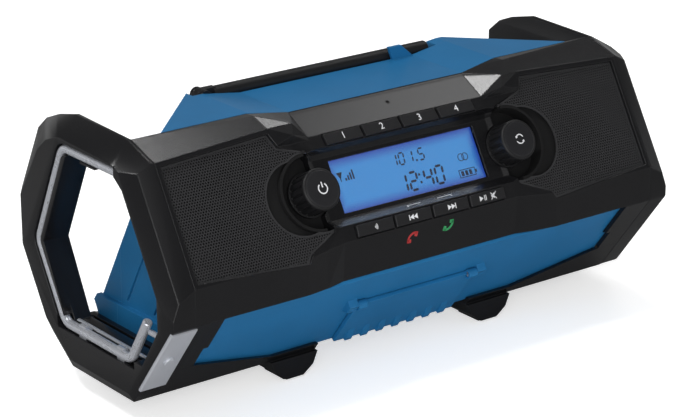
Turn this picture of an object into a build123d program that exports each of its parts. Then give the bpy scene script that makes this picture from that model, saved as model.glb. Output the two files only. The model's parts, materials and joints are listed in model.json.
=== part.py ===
"""Jobsite radio: a six-sided body between two open end guards, millimetres.

+X runs along the radio to the viewer's right, the front faces -Y and +Z is up. The origin is the
middle of the footprint, on the ground. The front face leans back, so most of the front is laid out in
(n, s): n out along the face's normal from the plane of the speaker frames, and s up the face.
"""
from build123d import *
from math import cos, radians, sin
import os

# ---- overall sizes -------------------------------------------------------------------------------
HALF_LENGTH = 174.0        # centre to the outer face of an end guard
HALF_DEPTH = 72.4          # centre to the nose, and to the back of a guard
GUARD_WIDTH = 16.0         # an end guard, along X
END_ROOM = 18.0            # room for a hand between a guard and the housing's end wall
GUARD_TOP = 151.0
BODY_TOP = 150.0
STRIP_TOP = 146.2          # the lower middle of the top
BELLY = 13.0               # underside of the guards and base rails
WALL = 3.0                 # housing wall
SKIN = 2.5                 # what the black rails stand proud of the housing
GAP = 0.3                  # between parts that move past each other
FIT = 0.05                 # radial running clearance of a shaft

# ---- leaning face --------------------------------------------------------------------------------
LEAN = 30.5                # of the face, back from upright
FACE = 0.0                 # n of the speaker frames, from which n is measured
PARTING = -14.8            # n of the joint between bezel and housing
FLOOR = -11.3              # n of the floor round the knobs
SURROUND = -8.3            # n of the surface round the display
BEZEL_END = HALF_LENGTH - GUARD_WIDTH
BODY_END = BEZEL_END - END_ROOM        # centre to the end wall of the housing
BLOCK_END = 86.0           # where a speaker frame's top ends
PEAK = 72.5                # the shoulder between a speaker frame and the console
CONSOLE_END = 60.0
NOSE_TOP = 36.0            # s where the face turns down into the nose
NOSE_BOTTOM = 64.5         # z of the nose's lower edge
FACE_TOP = 103.5           # s where the face turns back into the top, at a guard
TOP_S = 120.6              # s of the top's front edge, at the parting

COS, SIN = cos(radians(LEAN)), sin(radians(LEAN))
FACE_REACH = (HALF_DEPTH + NOSE_TOP * SIN) / COS      # origin to the face, along its normal


def ns(n, s):
    """(y, z) of a point n out from the face and s up it."""
    reach = FACE_REACH + n
    return (-reach * COS + s * SIN, reach * SIN + s * COS)


def face_plane(n):
    """A plane parallel to the leaning face: local x is +X and local y is s."""
    reach = FACE_REACH + n
    return Plane(origin=(0, -reach * COS, reach * SIN), x_dir=(1, 0, 0), z_dir=(0, -COS, SIN))


def at_face(x, s, n):
    """A plane like face_plane, with its origin moved to x and s."""
    y, z = ns(n, s)
    return Plane(origin=(x, y, z), x_dir=(1, 0, 0), z_dir=(0, -COS, SIN))


def outline(plane, points):
    """A flat face with the given corners."""
    with BuildSketch(plane) as sketch:
        with BuildLine():
            Polyline(*points, close=True)
        make_face()
    return sketch.sketch


def section(x, points):
    """A flat face across the radio at x, from (y, z) corners."""
    return outline(Plane.YZ.offset(x), points)


def finish(part, name):
    """Label a finished piece and write it."""
    part.label = name
    export_step(part, f"parts/{name}.step")


def mirrored(part):
    return mirror(part, about=Plane.YZ)


os.makedirs("parts", exist_ok=True)

# ---- shared outlines -----------------------------------------------------------------------------
# lower front slope, from under the nose to the belly
SLOPE_TOP = (-HALF_DEPTH, NOSE_BOTTOM)
SLOPE_BOTTOM = (-33.5, BELLY)
REAR_HIGH = (HALF_DEPTH, GUARD_TOP - 17.0)
REAR_LOW = (HALF_DEPTH, 70.5)
# corners of a guard's inner edge, each with how far its outer edge is set back from there to the next
GUARD_CORNERS = [
    ((HALF_DEPTH - 39.4, GUARD_TOP), 9.5), ((HALF_DEPTH - 20.4, GUARD_TOP - 4.7), 12.0),
    ((HALF_DEPTH - 9.3, GUARD_TOP - 9.2), 17.0), (REAR_HIGH, 2.0), (REAR_LOW, 2.0), ((46.1, 27.0), 5.0),
    ((26.6, BELLY), 5.0), (SLOPE_BOTTOM, 4.0), (SLOPE_TOP, 7.0), (ns(FACE, NOSE_TOP), 0.0),
    (ns(FACE, FACE_TOP), 7.0), (ns(PARTING, TOP_S), 8.5),
]
GUARD_LINE = [corner for corner, _ in GUARD_CORNERS]
SLOPE_RUN = SLOPE_BOTTOM[0] - SLOPE_TOP[0]
SLOPE_DROP = SLOPE_TOP[1] - SLOPE_BOTTOM[1]
SLOPE_LENGTH = (SLOPE_RUN ** 2 + SLOPE_DROP ** 2) ** 0.5
SLOPE_DOWN = (SLOPE_RUN / SLOPE_LENGTH, -SLOPE_DROP / SLOPE_LENGTH)
SLOPE_OUT = (-SLOPE_DROP / SLOPE_LENGTH, -SLOPE_RUN / SLOPE_LENGTH)


def on_slope(down, out):
    """(y, z) of a point down the lower front slope from its top, and out from its surface."""
    return (SLOPE_TOP[0] + down * SLOPE_DOWN[0] + out * SLOPE_OUT[0],
            SLOPE_TOP[1] + down * SLOPE_DOWN[1] + out * SLOPE_OUT[1])


def slope_at(z):
    """How far down the slope the height z is."""
    return (SLOPE_TOP[1] - z) / -SLOPE_DOWN[1]


HOUSING_LINE = [
    (-100.0, BODY_TOP), (34.0, BODY_TOP), (HALF_DEPTH - SKIN, 91.0), (HALF_DEPTH - SKIN, 72.0),
    (44.2, 29.2), (26.0, BELLY + SKIN), on_slope(SLOPE_LENGTH - 1.5, -SKIN),
    on_slope(3.0, -SKIN), (-100.0, NOSE_BOTTOM - 1.0),
]
# the big facet that narrows the housing behind each hand hole
CORNER = (-BODY_END, -17.0, BODY_TOP)
CORNER_NORMAL = (-0.656, 0.656, 0.372)
STRIP_HALF = 60.0
BLOCK_START = 85.0


def housing_solid(inset):
    """The housing's outer form, moved inwards by inset everywhere but at the front."""
    n_x, n_y, n_z = CORNER_NORMAL
    left = Plane(origin=(CORNER[0] - n_x * inset, CORNER[1] - n_y * inset, CORNER[2] - n_z * inset),
                 z_dir=CORNER_NORMAL)
    right = Plane(origin=(-CORNER[0] + n_x * inset, CORNER[1] - n_y * inset,
                          CORNER[2] - n_z * inset), z_dir=(-n_x, n_y, n_z))
    top = BODY_TOP - inset
    strip = STRIP_TOP - inset
    with BuildSketch(Plane.YZ) as side:
        with BuildLine():
            Polyline(*HOUSING_LINE, close=True)
        make_face()
        offset(amount=-inset, kind=Kind.INTERSECTION)
    with BuildPart() as body:
        extrude(side.sketch, amount=BODY_END - inset, both=True)
        split(bisect_by=left, keep=Keep.BOTTOM)
        split(bisect_by=right, keep=Keep.BOTTOM)
        extrude(outline(Plane.XZ, [(-BLOCK_START, top), (-STRIP_HALF, strip), (STRIP_HALF, strip),
                                   (BLOCK_START, top), (BLOCK_START, top + WALL * 4),
                                   (-BLOCK_START, top + WALL * 4)]),
                amount=HALF_DEPTH * 2, both=True, mode=Mode.SUBTRACT)
    return body.part


# ---- antenna place (its groove is cut in the housing) --------------------------------------------
SPLIT_Y = 25.8             # joint between the front and rear shells, and the groove's front wall
ANTENNA_R = 4.2
ANTENNA_Y = SPLIT_Y + ANTENNA_R + 1.0
ANTENNA_Z = STRIP_TOP + 0.8
ANTENNA_PIVOT = -82.0
ANTENNA_TIP = 74.5
GROOVE_FLOOR = ANTENNA_Z - ANTENNA_R - 0.8
GROOVE_START = ANTENNA_PIVOT - 9.0
GROOVE_END = ANTENNA_TIP + 4.0
TONGUE_TOP = STRIP_TOP + 7.8

# ---- battery place -------------------------------------------------------------------------------
PACK_HALF = 38.0           # half its width
PACK_FRONT = -18.0
PACK_BOTTOM = 28.0
PACK_TOP = 76.0
TRAY_WALL = 2.2
PACK_GAP = 0.6

# ---- flap place ----------------------------------------------------------------------------------
FLAP_HALF = 41.8
FLAP_TOP = slope_at(42.7)
FLAP_BOTTOM = slope_at(14.6)
FLAP_THICK = SKIN - GAP
FLAP_AXIS_DOWN = FLAP_TOP + 1.0
FLAP_AXIS_OUT = -0.4
BARREL_R = 2.8
FLAP_PIN_R = 1.5
BAY_HALF = 34.0            # half the width of the socket bay behind the flap
BAY_TOP = FLAP_TOP + 9.0
BAY_BOTTOM = FLAP_BOTTOM - 4.0
BAY_DEPTH = 18.0
EAR_WIDTH = 6.0

# ---- housing: front and rear shells --------------------------------------------------------------
PLINTH_TOP = 42.0
PLINTH_OUT = 3.0
RIB_GAPS = (24.0, 50.0)    # grooves in the end wall, behind the face
RIB_WIDTH = 2.0
RIB_DEPTH = 1.2
BOSS_R = 4.2
SCREW_R = 1.6

PLINTH_LINE = [on_slope(slope_at(PLINTH_TOP), -SKIN), (46.0, PLINTH_TOP), (49.0, 38.0), (44.2, 29.2),
               (26.0, BELLY + SKIN), on_slope(SLOPE_LENGTH - 1.5, -SKIN)]

outer_form = housing_solid(0)
inner_form = housing_solid(WALL)
PACK_BAY = [(-PACK_HALF - TRAY_WALL - PACK_GAP, PACK_BOTTOM - TRAY_WALL - PACK_GAP),
            (PACK_HALF + TRAY_WALL + PACK_GAP, PACK_TOP + TRAY_WALL + PACK_GAP)]
BAY_WIDTH = PACK_BAY[1][0] - PACK_BAY[0][0]
BAY_HEIGHT = PACK_BAY[1][1] - PACK_BAY[0][1]
BAY_MIDDLE = (PACK_BAY[1][1] + PACK_BAY[0][1]) / 2


def slanted_groove(side, behind):
    """A groove in an end wall, parallel to the facet's edge."""
    lean_back = CORNER_NORMAL[2] / CORNER_NORMAL[1]
    low, high = PLINTH_TOP + 3, 124.0
    line = [(CORNER[1] - behind + (BODY_TOP - z) * lean_back, z) for z in (low, high)]
    return section(side * BODY_END, [line[0], (line[0][0] + RIB_WIDTH, low),
                                     (line[1][0] + RIB_WIDTH, high), line[1]])


with BuildPart() as groove_walls:
    with BuildSketch(Plane.XY.offset(GROOVE_FLOOR - WALL)):
        with Locations(((GROOVE_START + GROOVE_END) / 2, SPLIT_Y - WALL)):
            Rectangle(GROOVE_END - GROOVE_START + WALL * 2, HALF_DEPTH, align=(Align.CENTER, Align.MIN))
    extrude(amount=HALF_DEPTH)
    add(outer_form, mode=Mode.INTERSECT)
with BuildPart() as shell:
    add(outer_form)
    add(inner_form, mode=Mode.SUBTRACT)
    add(groove_walls.part)
    split(bisect_by=face_plane(PARTING), keep=Keep.BOTTOM)
    # grooves and a plinth on each end wall
    for side in (-1, 1):
        for behind in RIB_GAPS:
            extrude(slanted_groove(side, behind), amount=-side * RIB_DEPTH, mode=Mode.SUBTRACT)
        extrude(section(side * BODY_END, PLINTH_LINE), amount=side * PLINTH_OUT)
    # antenna groove along the rear edge of the top
    with BuildSketch(Plane.XY.offset(GROOVE_FLOOR)):
        with Locations(((GROOVE_START + GROOVE_END) / 2, SPLIT_Y)):
            Rectangle(GROOVE_END - GROOVE_START, HALF_DEPTH, align=(Align.CENTER, Align.MIN))
    extrude(amount=HALF_DEPTH, mode=Mode.SUBTRACT)
    # battery mouth
    with BuildSketch(Plane.XZ.offset(-HALF_DEPTH - WALL)):
        with Locations((0, BAY_MIDDLE)):
            Rectangle(BAY_WIDTH, BAY_HEIGHT)
    extrude(amount=HALF_DEPTH, mode=Mode.SUBTRACT)
    # socket bay behind the flap
    extrude(section(-BAY_HALF, [on_slope(BAY_TOP, 1), on_slope(BAY_BOTTOM, 1),
                                on_slope(BAY_BOTTOM, -BAY_DEPTH), on_slope(BAY_TOP, -BAY_DEPTH)]),
            amount=BAY_HALF * 2, mode=Mode.SUBTRACT)

with BuildPart() as front_housing:
    add(shell.part)
    split(bisect_by=Plane.XZ.offset(-SPLIT_Y), keep=Keep.TOP)
    # ears that carry the flap's pins
    for side in (-1, 1):
        start = side * (FLAP_HALF + GAP)
        with BuildSketch(Plane.YZ.offset(start)):
            with BuildLine():
                Polyline(on_slope(FLAP_AXIS_DOWN - 4.2, -SKIN - 0.5),
                         on_slope(FLAP_AXIS_DOWN + 5.4, -SKIN - 0.5),
                         on_slope(FLAP_AXIS_DOWN + 2.6, 1.2),
                         on_slope(FLAP_AXIS_DOWN - 2.6, 1.2), close=True)
            make_face()
        extrude(amount=side * EAR_WIDTH)
        with BuildSketch(Plane.YZ.offset(start)):
            with Locations(on_slope(FLAP_AXIS_DOWN, FLAP_AXIS_OUT)):
                Circle(FLAP_PIN_R)
        extrude(amount=side * (EAR_WIDTH - 1), mode=Mode.SUBTRACT)
        # relief round the flap's barrels
        with BuildSketch(Plane.YZ.offset(side * (FLAP_HALF + GAP))):
            with Locations(on_slope(FLAP_AXIS_DOWN, FLAP_AXIS_OUT)):
                Circle(BARREL_R + GAP)
        extrude(amount=-side * (6 + 2 * GAP), mode=Mode.SUBTRACT)
    # tongue that holds the antenna's tip
    with BuildSketch(Plane.XZ.offset(-SPLIT_Y)):
        with BuildLine():
            Polyline((45.5, STRIP_TOP - 1), (61.0, STRIP_TOP - 1), (51.0, TONGUE_TOP), (42.0, TONGUE_TOP),
                     close=True)
        make_face()
    extrude(amount=2.2)
finish(front_housing.part, "front_housing")

# the rear shell is screwed to the front one
REAR_BOSSES = [(-62.0, 130.0), (62.0, 130.0), (-62.0, 34.0), (62.0, 34.0)]
HEAD_R = 3.2
HEAD_DEPTH = 16.0          # from the split to the screw head's seat
with BuildPart() as rear_bosses:
    with BuildSketch(Plane.XZ.offset(-SPLIT_Y)):
        with Locations(*REAR_BOSSES):
            Circle(BOSS_R)
    extrude(amount=-HALF_DEPTH)
    add(outer_form, mode=Mode.INTERSECT)
with BuildPart() as rear_housing:
    add(shell.part)
    split(bisect_by=Plane.XZ.offset(-SPLIT_Y), keep=Keep.BOTTOM)
    add(rear_bosses.part)
    with BuildSketch(Plane.XZ.offset(-SPLIT_Y)):
        with Locations(*REAR_BOSSES):
            Circle(SCREW_R)
    extrude(amount=-HALF_DEPTH, mode=Mode.SUBTRACT)
    with BuildSketch(Plane.XZ.offset(-SPLIT_Y - HEAD_DEPTH)):
        with Locations(*REAR_BOSSES):
            Circle(HEAD_R)
    extrude(amount=-HALF_DEPTH, mode=Mode.SUBTRACT)
finish(rear_housing.part, "rear_housing")
with BuildPart() as housing_screws:
    with BuildSketch(Plane.XZ.offset(-SPLIT_Y - HEAD_DEPTH)):
        with Locations(*REAR_BOSSES):
            Circle(HEAD_R - 0.1)
    extrude(amount=-2.4)
    with BuildSketch(Plane.XZ.offset(-SPLIT_Y - HEAD_DEPTH)):
        with Locations(*REAR_BOSSES):
            Circle(SCREW_R)
    extrude(amount=HEAD_DEPTH + 6)
finish(housing_screws.part, "housing_screws")

# ---- end guards ----------------------------------------------------------------------------------
WIRE_R = 2.6
WIRE_X = -HALF_LENGTH + WIRE_R
WIRE_BEND = 8.0
WIRE_TOP = 136.8
HOOK_AXIS_Z = 36.9
CLIP_SEAT = 134.6          # z of the hand hole's upper edge, which carries the clip
WIRE_LINE = [(-24.0, WIRE_TOP), (28.0, WIRE_TOP), (55.4, 78.4), (31.0, HOOK_AXIS_Z),
             (-32.6, HOOK_AXIS_Z), (-48.8, 63.2)]
HAND_HOLE = [(-24.5, CLIP_SEAT), (-31.5, 129.5), (-61.0, 80.0), (-61.5, 62.0), (-46.0, 38.0),
             (28.0, 38.0), (48.4, 78.5), (22.0, CLIP_SEAT)]
REBATE_R = WIRE_R + 0.7
REBATE_DEPTH = WIRE_R * 2 + 0.4
SWING_ROOM = 6.0
BROAD_RUN = 14.0           # how far along X the broad bevels over the top and the rear corner reach
NARROW_RUN = 2.5           # and the narrow ones
REAR_FLARE = ((-HALF_LENGTH, HALF_DEPTH - 0.5, 97.0), (-HALF_LENGTH, HALF_DEPTH - 20.4, 128.0))
STRIP_IN = 10.0            # the lit strip beside the speaker frame, along X
STRIP_OUT = 2.8
POST_IN = 6.0              # the post's side, beyond the strip
POST_OUT = 8.0


def trim(part_edge, start, setback, run_in):
    """A plane that trims the guard's outer edge: it meets the outline at x = start and is set back
    that far after run_in more of X outwards."""
    (y0, z0), (y1, z1) = part_edge
    length = ((y1 - y0) ** 2 + (z1 - z0) ** 2) ** 0.5
    out_y, out_z = (z0 - z1) / length, (y1 - y0) / length
    return Plane(origin=(start, y0, z0), z_dir=(-setback, run_in * out_y, run_in * out_z))


# the rear bevel widens upwards: it passes through both points of the flare and the inner corner
high = Vector(-HALF_LENGTH + BROAD_RUN, *REAR_HIGH)
flare = (Vector(*REAR_FLARE[0]) - high).cross(Vector(*REAR_FLARE[1]) - high)
rear_bevel = Plane(origin=high, z_dir=flare if flare.Y > 0 else -flare)

with BuildPart() as guard:
    extrude(section(-HALF_LENGTH, GUARD_LINE), amount=GUARD_WIDTH)
    for (start, setback), (end, _) in zip(GUARD_CORNERS, GUARD_CORNERS[1:] + GUARD_CORNERS[:1]):
        if setback == 0.0:
            split(bisect_by=trim((start, end), -BEZEL_END, STRIP_OUT, STRIP_IN), keep=Keep.BOTTOM)
            set_back = [(y + STRIP_OUT * COS, z - STRIP_OUT * SIN) for y, z in (start, end)]
            split(bisect_by=trim(set_back, -HALF_LENGTH + POST_IN, POST_OUT, POST_IN), keep=Keep.BOTTOM)
        else:
            run = BROAD_RUN if setback >= 7.0 and start != SLOPE_TOP else NARROW_RUN
            split(bisect_by=trim((start, end), -HALF_LENGTH + run, setback, run), keep=Keep.BOTTOM)
    split(bisect_by=rear_bevel, keep=Keep.BOTTOM)
    extrude(section(-HALF_LENGTH, HAND_HOLE), amount=GUARD_WIDTH, mode=Mode.SUBTRACT)
finish(mirrored(guard.part), "end_guard_right")

# the left guard also has the rebate, the bores and the seats of the hanging hook
PLATE_X = (-HALF_LENGTH + 1.5, -BEZEL_END + 1.5)
PLATE_TOP = slope_at(63.0)
PLATE_BOTTOM = slope_at(22.0)
PLATE_THICK = 2.0
PLATE_PROUD = 0.8
PIN_Z = 57.0
HOOK_PIN_R = 1.6
HOOK_PIN_Y = (-61.0, -48.7)
ROD_R = 1.7
ROD_X = -HALF_LENGTH + 8.3
ROD_Y = (-38.0, 33.0)
SADDLE_Y = (-20.0, 17.0)
SADDLE_LONG = 6.0
SADDLE_WALL = 1.2
SADDLE_MOUTH = 1.2         # from the wire's centre out to the saddles' open side
CLIP_Y = (-4.0, 10.0)

plate_seat = extrude(section(PLATE_X[0], [on_slope(PLATE_TOP, PLATE_THICK),
                                          on_slope(PLATE_BOTTOM, PLATE_THICK),
                                          on_slope(PLATE_BOTTOM, PLATE_PROUD - PLATE_THICK),
                                          on_slope(PLATE_TOP, PLATE_PROUD - PLATE_THICK)]),
                     amount=PLATE_X[1] - PLATE_X[0])
with BuildPart() as guard_left:
    add(guard.part)
    with BuildSketch(Plane.YZ.offset(-HALF_LENGTH)):
        with BuildLine():
            FilletPolyline(*WIRE_LINE, radius=WIRE_BEND)
        trace(line_width=REBATE_R * 2)
        # room beyond both bends, for the legs as they swing out
        with BuildLine():
            Line((WIRE_LINE[3][0] + SWING_ROOM, HOOK_AXIS_Z), (WIRE_LINE[4][0] - SWING_ROOM, HOOK_AXIS_Z))
        trace(line_width=REBATE_R * 2)
    extrude(amount=REBATE_DEPTH, mode=Mode.SUBTRACT)
    for y in SADDLE_Y:
        with BuildSketch(Plane.XZ.offset(-y)):
            with Locations((WIRE_X, HOOK_AXIS_Z)):
                Circle(WIRE_R + SADDLE_WALL)
        extrude(amount=SADDLE_LONG, mode=Mode.SUBTRACT)
    # seat of the steel plate on the lower front
    add(plate_seat, mode=Mode.SUBTRACT)
    # bores of the stop pin and of the guide rod
    with BuildSketch(Plane.XZ.offset(-HOOK_PIN_Y[0])):
        with Locations((WIRE_X + 1.4, PIN_Z)):
            Circle(HOOK_PIN_R)
    extrude(amount=HOOK_PIN_Y[0] - HOOK_PIN_Y[1], mode=Mode.SUBTRACT)
    with BuildSketch(Plane.XZ.offset(-ROD_Y[0])):
        with Locations((ROD_X, HOOK_AXIS_Z)):
            Circle(ROD_R)
    extrude(amount=ROD_Y[0] - ROD_Y[1], mode=Mode.SUBTRACT)
finish(guard_left.part, "end_guard_left")

# ---- bezel: speaker frames, console and the faceted steps between ----------------------------------
GRILLE_END = BEZEL_END - 2.5
GRILLE_TOP = 101.2         # s of its upper outer corner
GRILLE_BOTTOM = 38.5
GRILLE_LINE = [(-GRILLE_END, GRILLE_TOP), (-86.9, 105.2), (-83.3, 97.2), (-65.3, 91.6), (-63.4, 88.0),
               (-63.4, 51.8), (-64.4, 46.6), (-82.6, 38.0), (-85.9, 33.4), (-GRILLE_END, GRILLE_BOTTOM)]
GRILLE_SINK = 1.8
GRILLE_THICK = 1.2
KNOB_X = 68.2
KNOB_S = 69.7
KNOB_R = 11.6
KNOB_FACE = 5.3
WELL_R = 20.0
WELL_WALL = 1.6
BAFFLE_THICK = 2.5
BAFFLE_X = (-BEZEL_END + 1.7, -60.6)
BAFFLE_S = (30.4, 107.6)
BACK = -25.3               # n well behind the bezel, where its cuts start
CAVITY_HALF = 58.0
CAVITY_S = (30.5, 101.5)
CONSOLE_WALL = -10.8       # n of the inside of the console's wall
NOSE_RIM_S = (NOSE_BOTTOM - (FACE_REACH + PARTING) * SIN) / COS
DISPLAY_HALF = 50.0
DISPLAY_S = (55.5, 84.8)
KEY_PITCH = 26.0
KEY_WIDE = 24.4
PRESET_S = (92.3, 98.9)
PRESET_N = (-1.8, -3.4)    # n of a preset key's lower and upper edge
ROW_S = (40.6, 47.0)
ROW_N = (-0.9, 0.1)        # n of a lower key's lower and upper edge
KEY_X = [(i - 1.5) * KEY_PITCH for i in range(4)]

# the bezel's outline at five stations, each from its rear upper edge round to its rear lower edge
NOSE_CHAIN = [ns(FACE, 53), ns(FACE, 48.3), ns(FACE, NOSE_TOP), (-HALF_DEPTH, NOSE_BOTTOM),
              ns(PARTING, NOSE_RIM_S)]
END_CHAIN = [ns(PARTING, TOP_S), ns(PARTING + 2.2, TOP_S - 2.6), ns(FACE, FACE_TOP), ns(FACE, 97.5),
             ns(FACE, 92), ns(FACE, 89.5), ns(FACE, 87)] + NOSE_CHAIN
BLOCK_CHAIN = [ns(PARTING, TOP_S), ns(-8.4, 117.3), ns(FACE, 107.8), ns(FACE, 97.5), ns(FACE, 92),
               ns(FACE, 89.5), ns(FACE, 87)] + NOSE_CHAIN
PEAK_CHAIN = [ns(PARTING, 118.5), ns(3.2, 107.4), ns(0.9, 101.3), ns(-3.1, 97.5), ns(-3.1, 92),
              ns(-2.7, 89.5), ns(-2.1, 87), ns(-2.1, 53), ns(-1.7, 46.6), ns(-1.8, 38),
              (-HALF_DEPTH + 1.8, NOSE_BOTTOM), ns(PARTING, NOSE_RIM_S)]
CONSOLE_CHAIN = [ns(PARTING, 116.4), ns(PARTING + 1.0, 114.1), ns(-4.8, 99.3), ns(-4.36, 97.5), ns(-3.0, 92),
                 ns(-6.8, 89.5), ns(SURROUND, 87), ns(SURROUND, 53), ns(-1.3, 48.3), ns(-2.3, 39.6),
                 (-HALF_DEPTH + 5.0, NOSE_BOTTOM), ns(PARTING, NOSE_RIM_S)]


def span(first, second, n_from, n_to, pad=0.0):
    """Corners (n, s) -> (y, z) of a bar lying along X between two heights up the face."""
    return [ns(n_from, first - pad), ns(n_to, first - pad), ns(n_to, second + pad),
            ns(n_from, second + pad)]


def faceted(x, near, next_x, far):
    """A solid between two outlines across the radio. A side that isn't flat is folded outwards."""
    near = [Vector(x, *point) for point in near]
    far = [Vector(next_x, *point) for point in far]
    sides = [near, far]
    for i in range(len(near)):
        j = (i + 1) % len(near)
        across = (near[j] - near[i]).cross(far[i] - near[i]) * (1 if next_x > x else -1)
        fold = (far[j] - near[i]).dot(across.normalized())
        if abs(fold) < 0.001:
            sides.append([near[i], near[j], far[j], far[i]])
        elif fold < 0:
            sides += [[near[i], near[j], far[i]], [near[j], far[j], far[i]]]
        else:
            sides += [[near[i], near[j], far[j]], [near[i], far[j], far[i]]]
    return Solid(Shell([Face(Wire.make_polygon(corners)) for corners in sides]))


with BuildPart() as bezel:
    extrude(section(-CONSOLE_END, CONSOLE_CHAIN), amount=CONSOLE_END * 2)
    for side in (-1, 1):
        stations = [(BEZEL_END, END_CHAIN), (BLOCK_END, BLOCK_CHAIN), (PEAK, PEAK_CHAIN),
                    (CONSOLE_END, CONSOLE_CHAIN)]
        for (x, chain), (next_x, next_chain) in zip(stations, stations[1:]):
            add(faceted(side * x, chain, side * next_x, next_chain))
        # speaker window, its wider seat at the back, and room for the knob
        window = [(-side * x, s) for x, s in GRILLE_LINE]
        extrude(outline(face_plane(BACK), window), amount=KNOB_FACE - BACK, mode=Mode.SUBTRACT)
        seat_middle = side * -(BAFFLE_X[0] + BAFFLE_X[1]) / 2
        with BuildSketch(face_plane(BACK)):
            with Locations((seat_middle, sum(BAFFLE_S) / 2)):
                Rectangle(BAFFLE_X[1] - BAFFLE_X[0], BAFFLE_S[1] - BAFFLE_S[0])
        extrude(amount=FLOOR - BACK, mode=Mode.SUBTRACT)
        with BuildSketch(face_plane(FLOOR)):
            with Locations((side * KNOB_X, KNOB_S)):
                Circle(KNOB_R + 1.6)
        extrude(amount=KNOB_FACE - FLOOR, mode=Mode.SUBTRACT)
    # room for the display and the boards
    with BuildSketch(face_plane(BACK)):
        with Locations((0, sum(CAVITY_S) / 2)):
            Rectangle(CAVITY_HALF * 2, CAVITY_S[1] - CAVITY_S[0])
    extrude(amount=CONSOLE_WALL - BACK, mode=Mode.SUBTRACT)
    with BuildSketch(face_plane(BACK)):
        with Locations((0, sum(DISPLAY_S) / 2)):
            Rectangle(DISPLAY_HALF * 2, DISPLAY_S[1] - DISPLAY_S[0])
    extrude(amount=KNOB_FACE - BACK, mode=Mode.SUBTRACT)
    for x in KEY_X:
        for rows in (PRESET_S, ROW_S):
            extrude(section(x - KEY_WIDE / 2 - GAP, span(*rows, BACK, KNOB_FACE, GAP)),
                    amount=KEY_WIDE + GAP * 2, mode=Mode.SUBTRACT)
    # posts that carry the main board
    for x in (-54.6, 54.6):
        for s in (51.0, 88.4):
            with BuildSketch(face_plane(CONSOLE_WALL)):
                with Locations((x, s)):
                    Circle(2.2)
            extrude(amount=-8.4)
finish(bezel.part, "front_bezel")

# ---- grilles, baffles and speakers -----------------------------------------------------------------
SPEAKER_S = 70.0
CONE_R = 20.0
RIM_R = 23.0
SPEAKER_X = BODY_END - WALL - RIM_R - 0.5
RIM_THICK = 2.0
CONE_DEPTH = 13.0
COIL_R = 7.0
BASKET_DEPTH = 18.0
MAGNET_R = 16.0
MAGNET_THICK = 9.0
GRILLE_N = FACE - GRILLE_SINK
GRILLE_GAP = 0.15
SHAFT_R = 3.0
BUSH_R = 4.6

with BuildPart() as grille:
    with BuildSketch(face_plane(GRILLE_N)):
        with BuildLine():
            Polyline(*GRILLE_LINE, close=True)
        make_face()
        offset(amount=-GRILLE_GAP, kind=Kind.INTERSECTION)
        with Locations((-KNOB_X, KNOB_S)):
            Circle(WELL_R + WELL_WALL + GRILLE_GAP, mode=Mode.SUBTRACT)
    extrude(amount=-GRILLE_THICK)
finish(grille.part, "grille_left")
finish(mirrored(grille.part), "grille_right")

with BuildPart() as baffle:
    with BuildSketch(face_plane(FLOOR)):
        with Locations(((BAFFLE_X[0] + BAFFLE_X[1]) / 2, sum(BAFFLE_S) / 2)):
            Rectangle(BAFFLE_X[1] - BAFFLE_X[0], BAFFLE_S[1] - BAFFLE_S[0])
        with Locations((-SPEAKER_X, SPEAKER_S)):
            Circle(CONE_R, mode=Mode.SUBTRACT)
    extrude(amount=-BAFFLE_THICK)
    # wall of the well round the knob, cut short at the console
    with BuildSketch(face_plane(FLOOR)):
        with Locations((-KNOB_X, KNOB_S)):
            Circle(WELL_R + WELL_WALL)
            Circle(WELL_R, mode=Mode.SUBTRACT)
        with Locations((-KNOB_X, KNOB_S)):
            Rectangle(WELL_R * 2, WELL_R * 3, align=(Align.MIN, Align.CENTER), mode=Mode.SUBTRACT)
        with Locations((-SPEAKER_X, SPEAKER_S)):
            Circle(CONE_R, mode=Mode.SUBTRACT)
    extrude(amount=GRILLE_N - FLOOR)
    with BuildSketch(face_plane(FLOOR)):
        with Locations((-KNOB_X, KNOB_S)):
            Circle(BUSH_R)
    extrude(amount=-BAFFLE_THICK, mode=Mode.SUBTRACT)
finish(baffle.part, "baffle_left")
finish(mirrored(baffle.part), "baffle_right")

SPEAKER_N = FLOOR - BAFFLE_THICK       # the rim's seat on the back of the baffle
# in axis_plane local x is the radius and local y is the depth behind the baffle
axis_plane = Plane(origin=at_face(-SPEAKER_X, SPEAKER_S, SPEAKER_N).origin, x_dir=(1, 0, 0),
                   z_dir=(0, SIN, COS))


def turned(points):
    """A ring turned about the speaker's axis from (radius, depth) corners."""
    with BuildPart() as ring:
        with BuildSketch(axis_plane):
            with BuildLine():
                Polyline(*points, close=True)
            make_face()
        revolve(axis=Axis(axis_plane.origin, (0, -COS, SIN)))
    return ring.part


basket = turned([(CONE_R - 2, 0), (RIM_R, 0), (RIM_R, RIM_THICK), (CONE_R, RIM_THICK),
                 (MAGNET_R, BASKET_DEPTH), (COIL_R + 2, BASKET_DEPTH), (COIL_R + 2, BASKET_DEPTH - 2),
                 (MAGNET_R - 2, BASKET_DEPTH - 2)])
cone = turned([(0, 8), (COIL_R, 8.5), (CONE_R - 4, 1.5), (CONE_R - 2.6, 0.4), (CONE_R - 2.6, 1.2),
               (COIL_R, 10), (COIL_R, CONE_DEPTH), (COIL_R - 1, CONE_DEPTH), (COIL_R - 1, 10), (0, 9.5)])
magnet = turned([(0, BASKET_DEPTH), (MAGNET_R, BASKET_DEPTH), (MAGNET_R, BASKET_DEPTH + MAGNET_THICK),
                 (0, BASKET_DEPTH + MAGNET_THICK)])
for piece, name in ((basket, "speaker_basket"), (cone, "speaker_cone"), (magnet, "speaker_magnet")):
    finish(piece, name + "_left")
    finish(mirrored(piece), name + "_right")

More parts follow.
